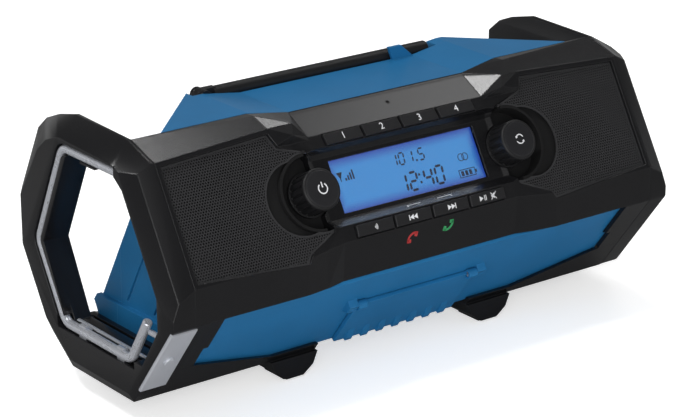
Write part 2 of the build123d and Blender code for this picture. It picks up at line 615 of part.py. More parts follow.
# ---- display and boards ----------------------------------------------------------------------------
WINDOW_N = (-10.6, -9.0)
LCD_N = (-13.4, -11.1)
LIGHT_N = (-17.7, -13.4)
BOARD_N = (-20.8, -19.2)
SWITCH_N = -13.5           # top of a key switch
SWITCH_CASE = 3.6
KEY_BACK = -12.3
KEY_FLANGE = 1.2


def slab(width, rows, n_pair, x=0.0):
    """A plate parallel to the face."""
    with BuildPart() as plate:
        with BuildSketch(face_plane(n_pair[0])):
            with Locations((x, sum(rows) / 2)):
                Rectangle(width, rows[1] - rows[0])
        extrude(amount=n_pair[1] - n_pair[0])
    return plate.part


finish(slab(DISPLAY_HALF * 2, DISPLAY_S, WINDOW_N), "display_window")
finish(slab(DISPLAY_HALF * 2 + 3, (DISPLAY_S[0] - 1.5, DISPLAY_S[1] + 1.5), LCD_N), "lcd_panel")
finish(slab(DISPLAY_HALF * 2 - 2, (DISPLAY_S[0] + 1, DISPLAY_S[1] - 1), LIGHT_N), "backlight")
finish(slab(CAVITY_HALF * 2 - 2, (CAVITY_S[0] + 1, CAVITY_S[1] - 1), BOARD_N), "main_board")
with BuildPart() as switches:
    with BuildSketch(face_plane(BOARD_N[1])):
        with Locations(*[(x, sum(rows) / 2) for x in KEY_X for rows in (PRESET_S, ROW_S)]):
            Rectangle(6, 6)
    extrude(amount=SWITCH_CASE)
    with BuildSketch(face_plane(BOARD_N[1] + SWITCH_CASE)):
        with Locations(*[(x, sum(rows) / 2) for x in KEY_X for rows in (PRESET_S, ROW_S)]):
            Circle(1.7)
    extrude(amount=SWITCH_N - BOARD_N[1] - SWITCH_CASE)
finish(switches.part, "key_switches")


def key(x, rows, heights):
    """A key cap with its lower and upper edge at two heights, and a flange behind the console."""
    low, high = rows
    with BuildPart() as cap:
        extrude(section(x - KEY_WIDE / 2, [ns(KEY_BACK, low), ns(heights[0], low),
                                           ns(heights[1], high), ns(KEY_BACK, high)]), amount=KEY_WIDE)
        fillet(cap.faces().sort_by(Axis((0, 0, 0), (0, -COS, SIN)))[-1].edges(), radius=0.5)
        extrude(section(x - KEY_WIDE / 2 - 0.5, [ns(KEY_BACK, low - 1.2),
                                                 ns(KEY_BACK + KEY_FLANGE, low - 1.2),
                                                 ns(KEY_BACK + KEY_FLANGE, high + 1.2),
                                                 ns(KEY_BACK, high + 1.2)]), amount=KEY_WIDE + 1)
    return cap.part


for number, x in enumerate(KEY_X, 1):
    finish(key(x, PRESET_S, PRESET_N), f"preset_key_{number}")
for name, x in zip(("pairing_key", "back_key", "forward_key", "play_key"), KEY_X):
    finish(key(x, ROW_S, ROW_N), name)

# ---- knobs -----------------------------------------------------------------------------------------
KNOB_BACK = -10.1
RIBS = 18
RIB_R = 0.9
PUSHER_N = (-24.1, -21.6)
SHAFT_BACK = PUSHER_N[1] + 0.3
BUSH_TOP = FLOOR
ENCODER_N = (BACK, -17.3)
COLLAR_R = 4.4


def knob(x):
    """A knob with its shaft: a ribbed skirt, a domed cap and a stem."""
    with BuildPart() as turning:
        with BuildSketch(at_face(x, KNOB_S, KNOB_BACK)):
            Circle(KNOB_R + 0.8)
        extrude(amount=1.6)
        with BuildSketch(at_face(x, KNOB_S, KNOB_BACK + 1.6)):
            Circle(KNOB_R)
            with PolarLocations(KNOB_R, RIBS):
                Circle(RIB_R, mode=Mode.SUBTRACT)
        extrude(amount=KNOB_FACE - 2.4 - KNOB_BACK - 1.6)
        with BuildSketch(at_face(x, KNOB_S, KNOB_FACE - 2.4)):
            Circle(KNOB_R)
        extrude(amount=2.4)
        fillet(turning.faces().sort_by(Axis((0, 0, 0), (0, -COS, SIN)))[-1].edges(), radius=1.4)
        with BuildSketch(at_face(x, KNOB_S, SHAFT_BACK)):
            Circle(SHAFT_R)
        extrude(amount=KNOB_BACK - SHAFT_BACK + 1)
    return turning.part


def pusher(x):
    """The cup that the knob's shaft turns in and pushes the switch with."""
    with BuildPart() as cup:
        with BuildSketch(at_face(x, KNOB_S, PUSHER_N[0])):
            Circle(COLLAR_R)
        extrude(amount=PUSHER_N[1] - PUSHER_N[0])
    return cup.part


def encoder(x):
    """The encoder's case, its cavity and its threaded bush through the baffle."""
    with BuildPart() as case:
        with BuildSketch(at_face(x, KNOB_S, ENCODER_N[0] - 1.5)):
            Rectangle(13, 13)
        extrude(amount=ENCODER_N[1] - ENCODER_N[0] + 1.5)
        with BuildSketch(at_face(x, KNOB_S, ENCODER_N[1])):
            Circle(BUSH_R)
        extrude(amount=BUSH_TOP - ENCODER_N[1])
        with BuildSketch(at_face(x, KNOB_S, ENCODER_N[0])):
            Circle(COLLAR_R + FIT)
        extrude(amount=PUSHER_N[1] - ENCODER_N[0] + 0.5, mode=Mode.SUBTRACT)
        with BuildSketch(at_face(x, KNOB_S, ENCODER_N[0])):
            Circle(SHAFT_R + FIT)
        extrude(amount=KNOB_BACK - ENCODER_N[0] + 1, mode=Mode.SUBTRACT)
    return case.part


for side, name in ((-1, "volume"), (1, "tuning")):
    finish(knob(side * KNOB_X), name + "_knob")
    finish(pusher(side * KNOB_X), name + "_pusher")
    finish(encoder(side * KNOB_X), name + "_encoder")

# ---- antenna ---------------------------------------------------------------------------------------
EYE_R = 4.2
EYE_WIDE = 4.4
ANTENNA_PIN_R = 1.5
EAR_THICK = 2.4
with BuildPart() as antenna:
    with BuildSketch(Plane.XZ.offset(-ANTENNA_Y - EYE_WIDE / 2)):
        with Locations((ANTENNA_PIVOT, ANTENNA_Z)):
            Circle(EYE_R)
            Rectangle(8.5, EYE_R * 2, align=(Align.MIN, Align.CENTER))
    extrude(amount=EYE_WIDE)
    with BuildSketch(Plane.YZ.offset(ANTENNA_PIVOT + 7)):
        with Locations((ANTENNA_Y, ANTENNA_Z)):
            Circle(ANTENNA_R)
    extrude(amount=ANTENNA_TIP - ANTENNA_PIVOT - 7)
    fillet(antenna.faces().sort_by(Axis.X)[-1].edges(), radius=1.6)
    with BuildSketch(Plane.XZ.offset(-ANTENNA_Y - EYE_WIDE)):
        with Locations((ANTENNA_PIVOT, ANTENNA_Z)):
            Circle(ANTENNA_PIN_R + FIT)
    extrude(amount=EYE_WIDE * 2, mode=Mode.SUBTRACT)
finish(antenna.part, "antenna")
with BuildPart() as antenna_bracket:
    with BuildSketch(Plane.XY.offset(GROOVE_FLOOR)):
        with Locations((ANTENNA_PIVOT - 1.5, ANTENNA_Y)):
            Rectangle(13, EYE_WIDE + 2 * EAR_THICK + 2 * GAP)
    extrude(amount=0.5)
    for side in (-1, 1):
        with BuildSketch(Plane.XZ.offset(-ANTENNA_Y - side * (EYE_WIDE / 2 + GAP))):
            with Locations((ANTENNA_PIVOT, ANTENNA_Z)):
                Circle(EYE_R)
            with Locations((ANTENNA_PIVOT, GROOVE_FLOOR)):
                Rectangle(EYE_R * 2, ANTENNA_Z - GROOVE_FLOOR, align=(Align.CENTER, Align.MIN))
        extrude(amount=-side * EAR_THICK)
    with BuildSketch(Plane.XZ.offset(-ANTENNA_Y - HALF_DEPTH / 2)):
        with Locations((ANTENNA_PIVOT, ANTENNA_Z)):
            Circle(ANTENNA_PIN_R)
    extrude(amount=HALF_DEPTH, mode=Mode.SUBTRACT)
finish(antenna_bracket.part, "antenna_bracket")
with BuildPart() as antenna_pin:
    with BuildSketch(Plane.XZ.offset(-ANTENNA_Y - EYE_WIDE / 2 - GAP - EAR_THICK)):
        with Locations((ANTENNA_PIVOT, ANTENNA_Z)):
            Circle(ANTENNA_PIN_R)
    extrude(amount=EYE_WIDE + 2 * GAP + 2 * EAR_THICK)
finish(antenna_pin.part, "antenna_pin")

# ---- socket bay and flap ---------------------------------------------------------------------------
flap_axis = on_slope(FLAP_AXIS_DOWN, FLAP_AXIS_OUT)
with BuildPart() as flap:
    extrude(section(-FLAP_HALF, [on_slope(FLAP_TOP, 0), on_slope(FLAP_BOTTOM, 0),
                                 on_slope(FLAP_BOTTOM, -FLAP_THICK), on_slope(FLAP_TOP, -FLAP_THICK)]),
            amount=FLAP_HALF * 2)
    # finger ribs along the lower edge
    for i in range(7):
        extrude(section(-33 + 11 * i - 2.2, [on_slope(FLAP_BOTTOM - 9, 0), on_slope(FLAP_BOTTOM - 3, 1.4),
                                             on_slope(FLAP_BOTTOM, 1.4), on_slope(FLAP_BOTTOM, 0)]),
                amount=4.4)
    for side in (-1, 1):
        with BuildSketch(Plane.YZ.offset(side * FLAP_HALF)):
            with Locations(flap_axis):
                Circle(BARREL_R)
        extrude(amount=-side * 6)
        with BuildSketch(Plane.YZ.offset(side * FLAP_HALF)):
            with Locations(flap_axis):
                Circle(FLAP_PIN_R + FIT)
        extrude(amount=-side * 6, mode=Mode.SUBTRACT)
finish(flap.part, "socket_flap")
with BuildPart() as flap_pins:
    for side in (-1, 1):
        with BuildSketch(Plane.YZ.offset(side * (FLAP_HALF + GAP + EAR_WIDTH - 1))):
            with Locations(flap_axis):
                Circle(FLAP_PIN_R)
        extrude(amount=-side * (EAR_WIDTH - 1 + GAP + 5.4))
finish(flap_pins.part, "flap_pins")

PANEL_OUT = -14.0          # the sockets' panel, behind the slope's surface
BAY_WALL = 1.6
SOCKET_DOWN = (BAY_TOP + BAY_BOTTOM) / 2
AUX_X, USB_X, DC_X = -22.0, 0.0, 22.0
SOCKET_R = 4.0
SOCKET_LONG = 9.0
AUX_BORE_R = 1.75          # takes a 3.5 mm plug
DC_BORE_R = 2.75           # takes a 5.5 mm plug
USB_SIZE = (14.6, 7.2)
USB_SLOT = (12.2, 4.8)


def bay_box(half, top, bottom, out_from, out_to):
    return section(-half, [on_slope(top, out_from), on_slope(bottom, out_from),
                           on_slope(bottom, out_to), on_slope(top, out_to)])


socket_plane = Plane(origin=(0, *on_slope(SOCKET_DOWN, PANEL_OUT)), x_dir=(1, 0, 0),
                     z_dir=(0, *SLOPE_OUT))
with BuildPart() as socket_bay:
    extrude(bay_box(BAY_HALF, BAY_TOP, BAY_BOTTOM, -SKIN - WALL, PANEL_OUT - BAY_WALL),
            amount=BAY_HALF * 2)
    extrude(bay_box(BAY_HALF - BAY_WALL, BAY_TOP + BAY_WALL, BAY_BOTTOM - BAY_WALL, 0, PANEL_OUT),
            amount=(BAY_HALF - BAY_WALL) * 2, mode=Mode.SUBTRACT)
    with BuildSketch(socket_plane):
        with Locations((DC_X, 0), (AUX_X, 0)):
            Circle(SOCKET_R)
        with Locations((USB_X, 0)):
            Rectangle(USB_SIZE[0], USB_SIZE[1])
    extrude(amount=-BAY_WALL * 2, mode=Mode.SUBTRACT)
finish(socket_bay.part, "socket_bay")


def round_socket(x, bore):
    with BuildPart() as jack:
        with BuildSketch(Plane(origin=socket_plane.origin + Vector(x, 0, 0), x_dir=(1, 0, 0),
                               z_dir=socket_plane.z_dir)):
            Circle(SOCKET_R)
        extrude(amount=-SOCKET_LONG)
        with BuildSketch(Plane(origin=socket_plane.origin + Vector(x, 0, 0), x_dir=(1, 0, 0),
                               z_dir=socket_plane.z_dir)):
            Circle(bore)
        extrude(amount=-SOCKET_LONG + 1.2, mode=Mode.SUBTRACT)
    return jack.part


finish(round_socket(AUX_X, AUX_BORE_R), "aux_socket")
finish(round_socket(DC_X, DC_BORE_R), "dc_socket")
with BuildPart() as usb_socket:
    with BuildSketch(socket_plane):
        with Locations((USB_X, 0)):
            Rectangle(*USB_SIZE)
    extrude(amount=-SOCKET_LONG)
    with BuildSketch(socket_plane):
        with Locations((USB_X, 0)):
            Rectangle(*USB_SLOT)
    extrude(amount=-SOCKET_LONG + 1.2, mode=Mode.SUBTRACT)
finish(usb_socket.part, "usb_socket")

# ---- battery ---------------------------------------------------------------------------------------
PACK_MID = (PACK_BOTTOM + PACK_TOP) / 2
RAIL_WIDE = 5.0
RAIL_HIGH = 4.0
RAIL_Z = PACK_TOP - 9.0
LATCH_HALF = 11.0
LATCH_Z = (58.0, 70.0)
LATCH_DEEP = 7.0
LATCH_TRAVEL = 2.5
TERMINAL = (30.0, 12.0, 10.0)
REAR_FACE = HALF_DEPTH - SKIN


def block_along_y(width, z_low, z_high, y_from, y_to, x=0.0):
    """A box lying along Y."""
    with BuildPart() as box:
        with BuildSketch(Plane.XZ.offset(-y_from)):
            with Locations((x, (z_low + z_high) / 2)):
                Rectangle(width, z_high - z_low)
        extrude(amount=-(y_to - y_from))
    return box.part


tray_front = PACK_FRONT - PACK_GAP - TRAY_WALL
tray_low = PACK_BOTTOM - PACK_GAP
tray_high = PACK_TOP + PACK_GAP
tray_half = PACK_HALF + PACK_GAP
with BuildPart() as battery_tray:
    add(block_along_y(BAY_WIDTH, PACK_BAY[0][1], PACK_BAY[1][1], tray_front, HALF_DEPTH * 2))
    add(outer_form, mode=Mode.INTERSECT)
    add(block_along_y(tray_half * 2, tray_low, tray_high, tray_front + TRAY_WALL, HALF_DEPTH * 2),
        mode=Mode.SUBTRACT)
    # rails that the pack's grooves ride on
    for side in (-1, 1):
        add(block_along_y(RAIL_WIDE, RAIL_Z, RAIL_Z + RAIL_HIGH, tray_front + TRAY_WALL, 55.0,
                          side * (tray_half - RAIL_WIDE / 2)))
finish(battery_tray.part, "battery_tray")
with BuildPart() as terminal_block:
    add(block_along_y(TERMINAL[0], PACK_MID - TERMINAL[2] / 2, PACK_MID + TERMINAL[2] / 2,
                      tray_front + TRAY_WALL, tray_front + TRAY_WALL + TERMINAL[1] / 2))
    for x in (-9.0, -3.0, 3.0, 9.0):
        add(block_along_y(0.8, PACK_MID - 3, PACK_MID + 3, tray_front + TRAY_WALL + TERMINAL[1] / 2,
                          tray_front + TRAY_WALL + TERMINAL[1] + 4, x))
finish(terminal_block.part, "terminal_block")
with BuildPart() as battery_pack:
    add(block_along_y(PACK_HALF * 2, PACK_BOTTOM, PACK_TOP, PACK_FRONT, HALF_DEPTH * 2))
    with BuildSketch(Plane.YZ) as pack_side:
        with BuildLine():
            Polyline(*HOUSING_LINE, close=True)
        make_face()
    extrude(pack_side.sketch, amount=BODY_END, both=True, mode=Mode.INTERSECT)
    fillet(battery_pack.edges().filter_by(Axis.Y), radius=2.5)
    for side in (-1, 1):
        add(block_along_y(RAIL_WIDE + PACK_GAP, RAIL_Z - PACK_GAP, RAIL_Z + RAIL_HIGH + PACK_GAP,
                          PACK_FRONT - 1, 55.0 + PACK_GAP, side * (tray_half - (RAIL_WIDE + PACK_GAP) / 2)),
            mode=Mode.SUBTRACT)
    # pocket round the terminals, and the latch's pocket in the rear face
    add(block_along_y(TERMINAL[0] + 2, PACK_MID - TERMINAL[2] / 2 - 1, PACK_MID + TERMINAL[2] / 2 + 1,
                      PACK_FRONT - 1, tray_front + TRAY_WALL + TERMINAL[1] + 6), mode=Mode.SUBTRACT)
    add(block_along_y(LATCH_HALF * 2 + GAP * 2, LATCH_Z[0] - LATCH_TRAVEL - GAP, LATCH_Z[1] + GAP,
                      HALF_DEPTH - SKIN - LATCH_DEEP - GAP, HALF_DEPTH * 2), mode=Mode.SUBTRACT)
finish(battery_pack.part, "battery_pack")
with BuildPart() as pack_latch:
    extrude(section(-LATCH_HALF, [(REAR_FACE - LATCH_DEEP, LATCH_Z[0]), (REAR_FACE - LATCH_DEEP, LATCH_Z[1]),
                                  (REAR_FACE + 1.6, LATCH_Z[1]), (REAR_FACE + 1.6, LATCH_Z[1] - 2.5),
                                  (REAR_FACE - 4.4, LATCH_Z[0])]), amount=LATCH_HALF * 2)
finish(pack_latch.part, "pack_latch")
POWER_BOARD_Z = PACK_BAY[1][1] + 1.6
with BuildPart() as power_board:
    with BuildSketch(Plane.XY.offset(POWER_BOARD_Z)):
        Rectangle(70, 40)
    extrude(amount=1.6)
    with BuildSketch(Plane.XY.offset(POWER_BOARD_Z)):
        with GridLocations(60, 30, 2, 2):
            Circle(2.2)
    extrude(amount=POWER_BOARD_Z - PACK_BAY[1][1], dir=(0, 0, -1))
    with BuildSketch(Plane.XY.offset(POWER_BOARD_Z + 1.6)):
        with GridLocations(16, 0, 3, 1):
            Circle(5)
    extrude(amount=13)
finish(power_board.part, "power_board")

# ---- base rails and feet ---------------------------------------------------------------------------
RAIL_TOP = 31.0            # z of the rails' edge at the guards
RAIL_LOW = 17.5            # z of the same edge beside the foot
FOOT_X = 69.3
FOOT_HALF = 15.5
FOOT_FLAT = 5.8
FOOT_BASE = 1.0
FOOT_Y = (-36.0, 33.0)
PAD_HIGH = 3.0
PAD_LONG = 18.0
PAD_Y = (-24.0, 22.0)
FLOOR_WALL = 4.0

# the post that closes the lower front corner, from the floor up to the bezel
with BuildPart() as corner_post:
    extrude(section(-BEZEL_END, [SLOPE_TOP, on_slope(slope_at(RAIL_TOP), 0),
                                 on_slope(slope_at(RAIL_TOP), -FLOOR_WALL),
                                 (SLOPE_TOP[0] - FLOOR_WALL / SLOPE_OUT[0], NOSE_BOTTOM)]), amount=END_ROOM)
    extrude(section(-BODY_END - PLINTH_OUT, [(-HALF_DEPTH, BELLY), (0, BELLY), (0, PLINTH_LINE[0][1]),
                                             (-HALF_DEPTH, PLINTH_LINE[0][1])]),
            amount=PLINTH_OUT, mode=Mode.SUBTRACT)

with BuildPart() as base:
    extrude(section(-BEZEL_END, GUARD_LINE), amount=BEZEL_END - FOOT_X + FOOT_HALF)
    split(bisect_by=Plane.XY.offset(RAIL_TOP), keep=Keep.BOTTOM)
    with BuildSketch(Plane.XZ):
        with BuildLine():
            Polyline((-BODY_END - PLINTH_OUT - 1, RAIL_TOP), (-FOOT_X - FOOT_HALF, RAIL_LOW),
                     (-FOOT_X + FOOT_HALF + 1, RAIL_LOW), (-FOOT_X + FOOT_HALF + 1, RAIL_TOP + 1),
                     (-BODY_END - PLINTH_OUT - 1, RAIL_TOP + 1), close=True)
        make_face()
    extrude(amount=HALF_DEPTH * 2, both=True, mode=Mode.SUBTRACT)
    add(outer_form, mode=Mode.SUBTRACT)
    extrude(section(-BODY_END - PLINTH_OUT, PLINTH_LINE), amount=PLINTH_OUT, mode=Mode.SUBTRACT)
    # the floor between the guard and the housing is a shallow tray
    with BuildSketch(Plane.YZ.offset(-BEZEL_END + FLOOR_WALL)) as tray:
        with BuildLine():
            Polyline(*GUARD_LINE, close=True)
        make_face()
        offset(amount=-FLOOR_WALL, kind=Kind.INTERSECTION)
    extrude(amount=BEZEL_END - FLOOR_WALL * 2 - BODY_END - PLINTH_OUT, mode=Mode.SUBTRACT)
    add(corner_post.part)
    # the foot
    with BuildSketch(Plane.XZ.offset(-FOOT_Y[0])):
        with BuildLine():
            Polyline((-FOOT_X - FOOT_HALF, BELLY), (-FOOT_X - FOOT_HALF + 3, BELLY - 7),
                     (-FOOT_X - FOOT_FLAT, FOOT_BASE), (-FOOT_X + FOOT_FLAT, FOOT_BASE),
                     (-FOOT_X + FOOT_HALF - 3, BELLY - 7), (-FOOT_X + FOOT_HALF, BELLY), close=True)
        make_face()
    extrude(amount=FOOT_Y[0] - FOOT_Y[1])
    with BuildSketch(Plane.XY):
        with Locations(*[(-FOOT_X, y) for y in PAD_Y]):
            Rectangle(FOOT_FLAT * 2 - 1, PAD_LONG)
    extrude(amount=PAD_HIGH, mode=Mode.SUBTRACT)
finish(mirrored(base.part), "base_right")
with BuildPart() as base_left:
    add(base.part)
    add(plate_seat, mode=Mode.SUBTRACT)
finish(base_left.part, "base_left")
with BuildPart() as foot_pads:
    with BuildSketch(Plane.XY):
        with Locations(*[(x, y) for x in (-FOOT_X, FOOT_X) for y in PAD_Y]):
            Rectangle(FOOT_FLAT * 2 - 1, PAD_LONG)
    extrude(amount=PAD_HIGH)
finish(foot_pads.part, "foot_pads")

# ---- hanging hook ----------------------------------------------------------------------------------
with BuildPart() as hook:
    with BuildLine():
        route = FilletPolyline(*[(WIRE_X, y, z) for y, z in WIRE_LINE], radius=WIRE_BEND)
    with BuildSketch(Plane(origin=route @ 0, z_dir=route % 0)):
        Circle(WIRE_R)
    sweep()
    chamfer(hook.edges().filter_by(GeomType.CIRCLE).sort_by(Axis.Y)[:1], length=0.5)
finish(hook.part, "hook")
with BuildPart() as hook_saddles:
    for y in SADDLE_Y:
        with BuildSketch(Plane.XZ.offset(-y)):
            with Locations((WIRE_X, HOOK_AXIS_Z)):
                Circle(WIRE_R + SADDLE_WALL)
                Circle(WIRE_R + FIT, mode=Mode.SUBTRACT)
            with Locations((WIRE_X - SADDLE_MOUTH, HOOK_AXIS_Z)):
                Rectangle(WIRE_R * 2, WIRE_R * 4, align=(Align.MAX, Align.CENTER), mode=Mode.SUBTRACT)
        extrude(amount=SADDLE_LONG)
finish(hook_saddles.part, "hook_saddles")
with BuildPart() as hook_rod:
    with BuildSketch(Plane.XZ.offset(-ROD_Y[0])):
        with Locations((ROD_X, HOOK_AXIS_Z)):
            Circle(ROD_R)
    extrude(amount=ROD_Y[0] - ROD_Y[1])
finish(hook_rod.part, "hook_rod")
with BuildPart() as hook_pin:
    with BuildSketch(Plane.XZ.offset(-HOOK_PIN_Y[0])):
        with Locations((WIRE_X + 1.4, PIN_Z)):
            Circle(HOOK_PIN_R)
    extrude(amount=HOOK_PIN_Y[0] - HOOK_PIN_Y[1])
finish(hook_pin.part, "hook_pin")
with BuildPart() as plate:
    extrude(section(PLATE_X[0], [on_slope(PLATE_TOP, PLATE_PROUD), on_slope(PLATE_BOTTOM, PLATE_PROUD),
                                 on_slope(PLATE_BOTTOM, PLATE_PROUD - PLATE_THICK),
                                 on_slope(PLATE_TOP, PLATE_PROUD - PLATE_THICK)]),
            amount=PLATE_X[1] - PLATE_X[0])
    chamfer(plate.edges().filter_by(Plane.YZ).sort_by(Axis.X)[:4].filter_by(
        lambda edge: abs((edge @ 0 - edge @ 1).Z) > 10), length=0.5)
finish(plate.part, "hook_plate")
SCREW_DOWN = (PLATE_TOP + PLATE_BOTTOM) / 2
screw_plane = Plane(origin=((PLATE_X[0] + PLATE_X[1]) / 2, *on_slope(SCREW_DOWN, PLATE_PROUD)),
                    x_dir=(1, 0, 0), z_dir=(0, *SLOPE_OUT))
with BuildPart() as plate_screw:
    with BuildSketch(screw_plane):
        Circle(3.0)
    extrude(amount=1.2)
    fillet(plate_screw.faces().sort_by(Axis((0, 0, 0), (0, *SLOPE_OUT)))[-1].edges(), radius=0.6)
finish(plate_screw.part, "plate_screw")
CLIP_DROP = WIRE_TOP - WIRE_R - GAP
with BuildPart() as hook_clip:
    with BuildSketch(Plane.XZ.offset(-CLIP_Y[1])):
        with BuildLine():
            Polyline((-HALF_LENGTH + 1.2, CLIP_DROP - 1.2), (-HALF_LENGTH + 8, CLIP_DROP - 1.2),
                     (-HALF_LENGTH + 8, CLIP_SEAT), (-HALF_LENGTH + 6.6, CLIP_SEAT),
                     (-HALF_LENGTH + 6.6, CLIP_DROP), (-HALF_LENGTH + 1.2, CLIP_DROP), close=True)
        make_face()
    extrude(amount=CLIP_Y[1] - CLIP_Y[0])
finish(hook_clip.part, "hook_clip")
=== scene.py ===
"""Finishes and fine detail of a jobsite radio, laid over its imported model, in metres.

+X runs along the radio to the viewer's right, the front faces -Y and +Z is up.
"""
import json
from math import atan2, cos, hypot, pi, radians, sin, sqrt

import bmesh
import bpy
from bpy.props import FloatProperty, FloatVectorProperty
from mathutils import Matrix, Vector


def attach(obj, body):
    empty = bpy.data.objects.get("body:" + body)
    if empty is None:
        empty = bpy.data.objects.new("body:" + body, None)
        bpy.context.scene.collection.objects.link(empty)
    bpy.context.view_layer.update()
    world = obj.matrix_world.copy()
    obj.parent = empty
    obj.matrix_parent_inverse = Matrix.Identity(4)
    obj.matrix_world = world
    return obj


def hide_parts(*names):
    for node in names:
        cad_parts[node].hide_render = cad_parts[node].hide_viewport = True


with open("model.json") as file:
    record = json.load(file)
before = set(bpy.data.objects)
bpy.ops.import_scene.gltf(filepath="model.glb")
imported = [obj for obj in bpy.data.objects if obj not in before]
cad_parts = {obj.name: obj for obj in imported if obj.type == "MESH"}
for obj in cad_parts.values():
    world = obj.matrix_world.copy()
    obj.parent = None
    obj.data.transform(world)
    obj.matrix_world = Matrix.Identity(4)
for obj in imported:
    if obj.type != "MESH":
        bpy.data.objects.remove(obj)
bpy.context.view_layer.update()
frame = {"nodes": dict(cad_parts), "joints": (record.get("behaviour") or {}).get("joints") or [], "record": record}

bl_info = {
    "name": "Jobsite radio",
    "version": (1, 0, 0),
    "blender": (4, 5, 0),
    "location": "3D View > Sidebar > Radio",
    "description": "Finishes, grilles, printed marks and display of a jobsite radio",
    "category": "Object",
}

MM = 0.001
NODES = frame["nodes"]
JOINTS = {joint["name"]: joint for joint in frame["joints"]}
OUT = Vector(JOINTS["volume_turn"]["axis"])      # out of the leaning face
RIGHT = Vector((1, 0, 0))
UP = OUT.cross(RIGHT)                            # up the leaning face
CAMERA_PLACE = (-0.8269, -1.0672, 0.5577)
CAMERA_WAY = (0.5717, 0.7477, -0.3378)
AIM = Vector((0, 0, 0.08))                       # what the lamps point at
BELOW_KEYS = Vector((0, -0.9985, -0.0544))       # out of the bezel under the lower keys
DISPLAY_STEP = OUT * 0.557 + UP * 0.830          # out of the step under the display
CONSOLE_TOP = Vector((0, -0.4725, 0.8813))       # out of the slope above the upper keys
MICROPHONE_X = 1.7 * MM
MICROPHONE_Z = 141.9 * MM
MERGE = 0.002 * MM                               # vertices closer than this are one
FLAT = radians(0.3)                              # faces that turn less than this are one
SHARP = radians(20)                              # edges that turn more than this are rounded
RECESS_STEPS = 40                                # of a recess's arc
CAP_MARK_HEIGHT = 2.8                            # of a knob's mark, in the units it is drawn in
FLOOR_PALE = 0.9
FLOOR_DIMMED = 0.6                               # what a reflection takes off that
FLOOR_GLOW = 0.58                                # what lifts the floor to white for the camera
ROOM_DIMMED = 0.7                                # share of the soft light that a reflection loses
BACKDROP = 0.6                                   # strength of the backdrop in a reflection


# ---- places read from the frame --------------------------------------------------------------------
def on_face(x, s, n):
    """A point from its distance to the right, up the leaning face and out of it."""
    return RIGHT * x + UP * s + OUT * n


def reach(node, direction):
    """How far a node reaches along a direction, as its lowest and highest distance."""
    distances = [vertex.co.dot(direction) for vertex in NODES[node].data.vertices]
    return min(distances), max(distances)


def outer_face(node, direction, tilt=25):
    """Middle of the largest flat part of a node that faces roughly along direction, and the way up it."""
    mesh = NODES[node].data
    flats = {}
    for face in mesh.polygons:
        if face.normal.angle(direction, pi) > radians(tilt):
            continue
        key = tuple(round(value, 2) for value in face.normal)
        area, middle, normal = flats.get(key, (0.0, Vector(), face.normal.copy()))
        flats[key] = (area + face.area, middle + face.center * face.area, normal)
    area, middle, normal = max(flats.values(), key=lambda flat: flat[0])
    return middle / area, normal.cross(RIGHT).normalized()


# ---- meshes ----------------------------------------------------------------------------------------
def add_piece(name, mesh, material, body, slot, *replaced):
    """Make a finished mesh a piece that rides on a body."""
    piece = bpy.data.objects.new(name, mesh)
    bpy.context.scene.collection.objects.link(piece)
    mesh.materials.clear()
    mesh.materials.append(bpy.data.materials[material])
    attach(piece, body)
    if replaced:
        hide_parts(*replaced)
    return piece


def evaluated_mesh(scratch):
    """The mesh that an object has after its modifiers. The object itself is removed."""
    bpy.context.view_layer.update()
    graph = bpy.context.evaluated_depsgraph_get()
    mesh = bpy.data.meshes.new_from_object(scratch.evaluated_get(graph), depsgraph=graph)
    bpy.data.objects.remove(scratch)
    return mesh


def finished(work, name):
    """The mesh of a bmesh, with its faces turned outwards."""
    bmesh.ops.recalc_face_normals(work, faces=work.faces)
    mesh = bpy.data.meshes.new(name)
    work.to_mesh(mesh)
    work.free()
    return mesh


def thickened(work, thick, name):
    """The flat faces of a bmesh as a plate that rises from them."""
    raised = bmesh.ops.extrude_face_region(work, geom=list(work.faces), use_keep_orig=True)["geom"]
    moved = [item for item in raised if isinstance(item, bmesh.types.BMVert)]
    bmesh.ops.translate(work, verts=moved, vec=(0, 0, thick))
    return finished(work, name)


def scratch_object(name, data):
    """A new object in the scene."""
    scratch = bpy.data.objects.new(name, data)
    bpy.context.scene.collection.objects.link(scratch)
    return scratch


def rounded_copy(node, width):
    """A node's mesh with its edges rounded."""
    mesh = NODES[node].data.copy()
    work = bmesh.new()
    work.from_mesh(mesh)
    bmesh.ops.remove_doubles(work, verts=work.verts, dist=MERGE)
    bmesh.ops.dissolve_limit(work, angle_limit=FLAT, verts=work.verts, edges=work.edges)
    work.to_mesh(mesh)
    work.free()
    scratch = scratch_object(node + "_rounding", mesh)
    bevel = scratch.modifiers.new("Rounding", "BEVEL")
    bevel.width = width
    bevel.segments = 3
    bevel.limit_method = "ANGLE"
    bevel.angle_limit = SHARP
    bevel.miter_outer = "MITER_ARC"
    bevel.harden_normals = True
    for face in mesh.polygons:
        face.use_smooth = True
    return evaluated_mesh(scratch)


def joined(meshes, name):
    """Several meshes as one."""
    work = bmesh.new()
    for mesh in meshes:
        work.from_mesh(mesh)
    result = bpy.data.meshes.new(name)
    work.to_mesh(result)
    work.free()
    return result


def placed(mesh, middle, up):
    """Move a mesh from flat (right, up, out) coordinates onto a surface."""
    out = RIGHT.cross(up).normalized()
    mesh.transform(Matrix.Translation(middle) @ Matrix((RIGHT, up, out)).transposed().to_4x4())
    return mesh


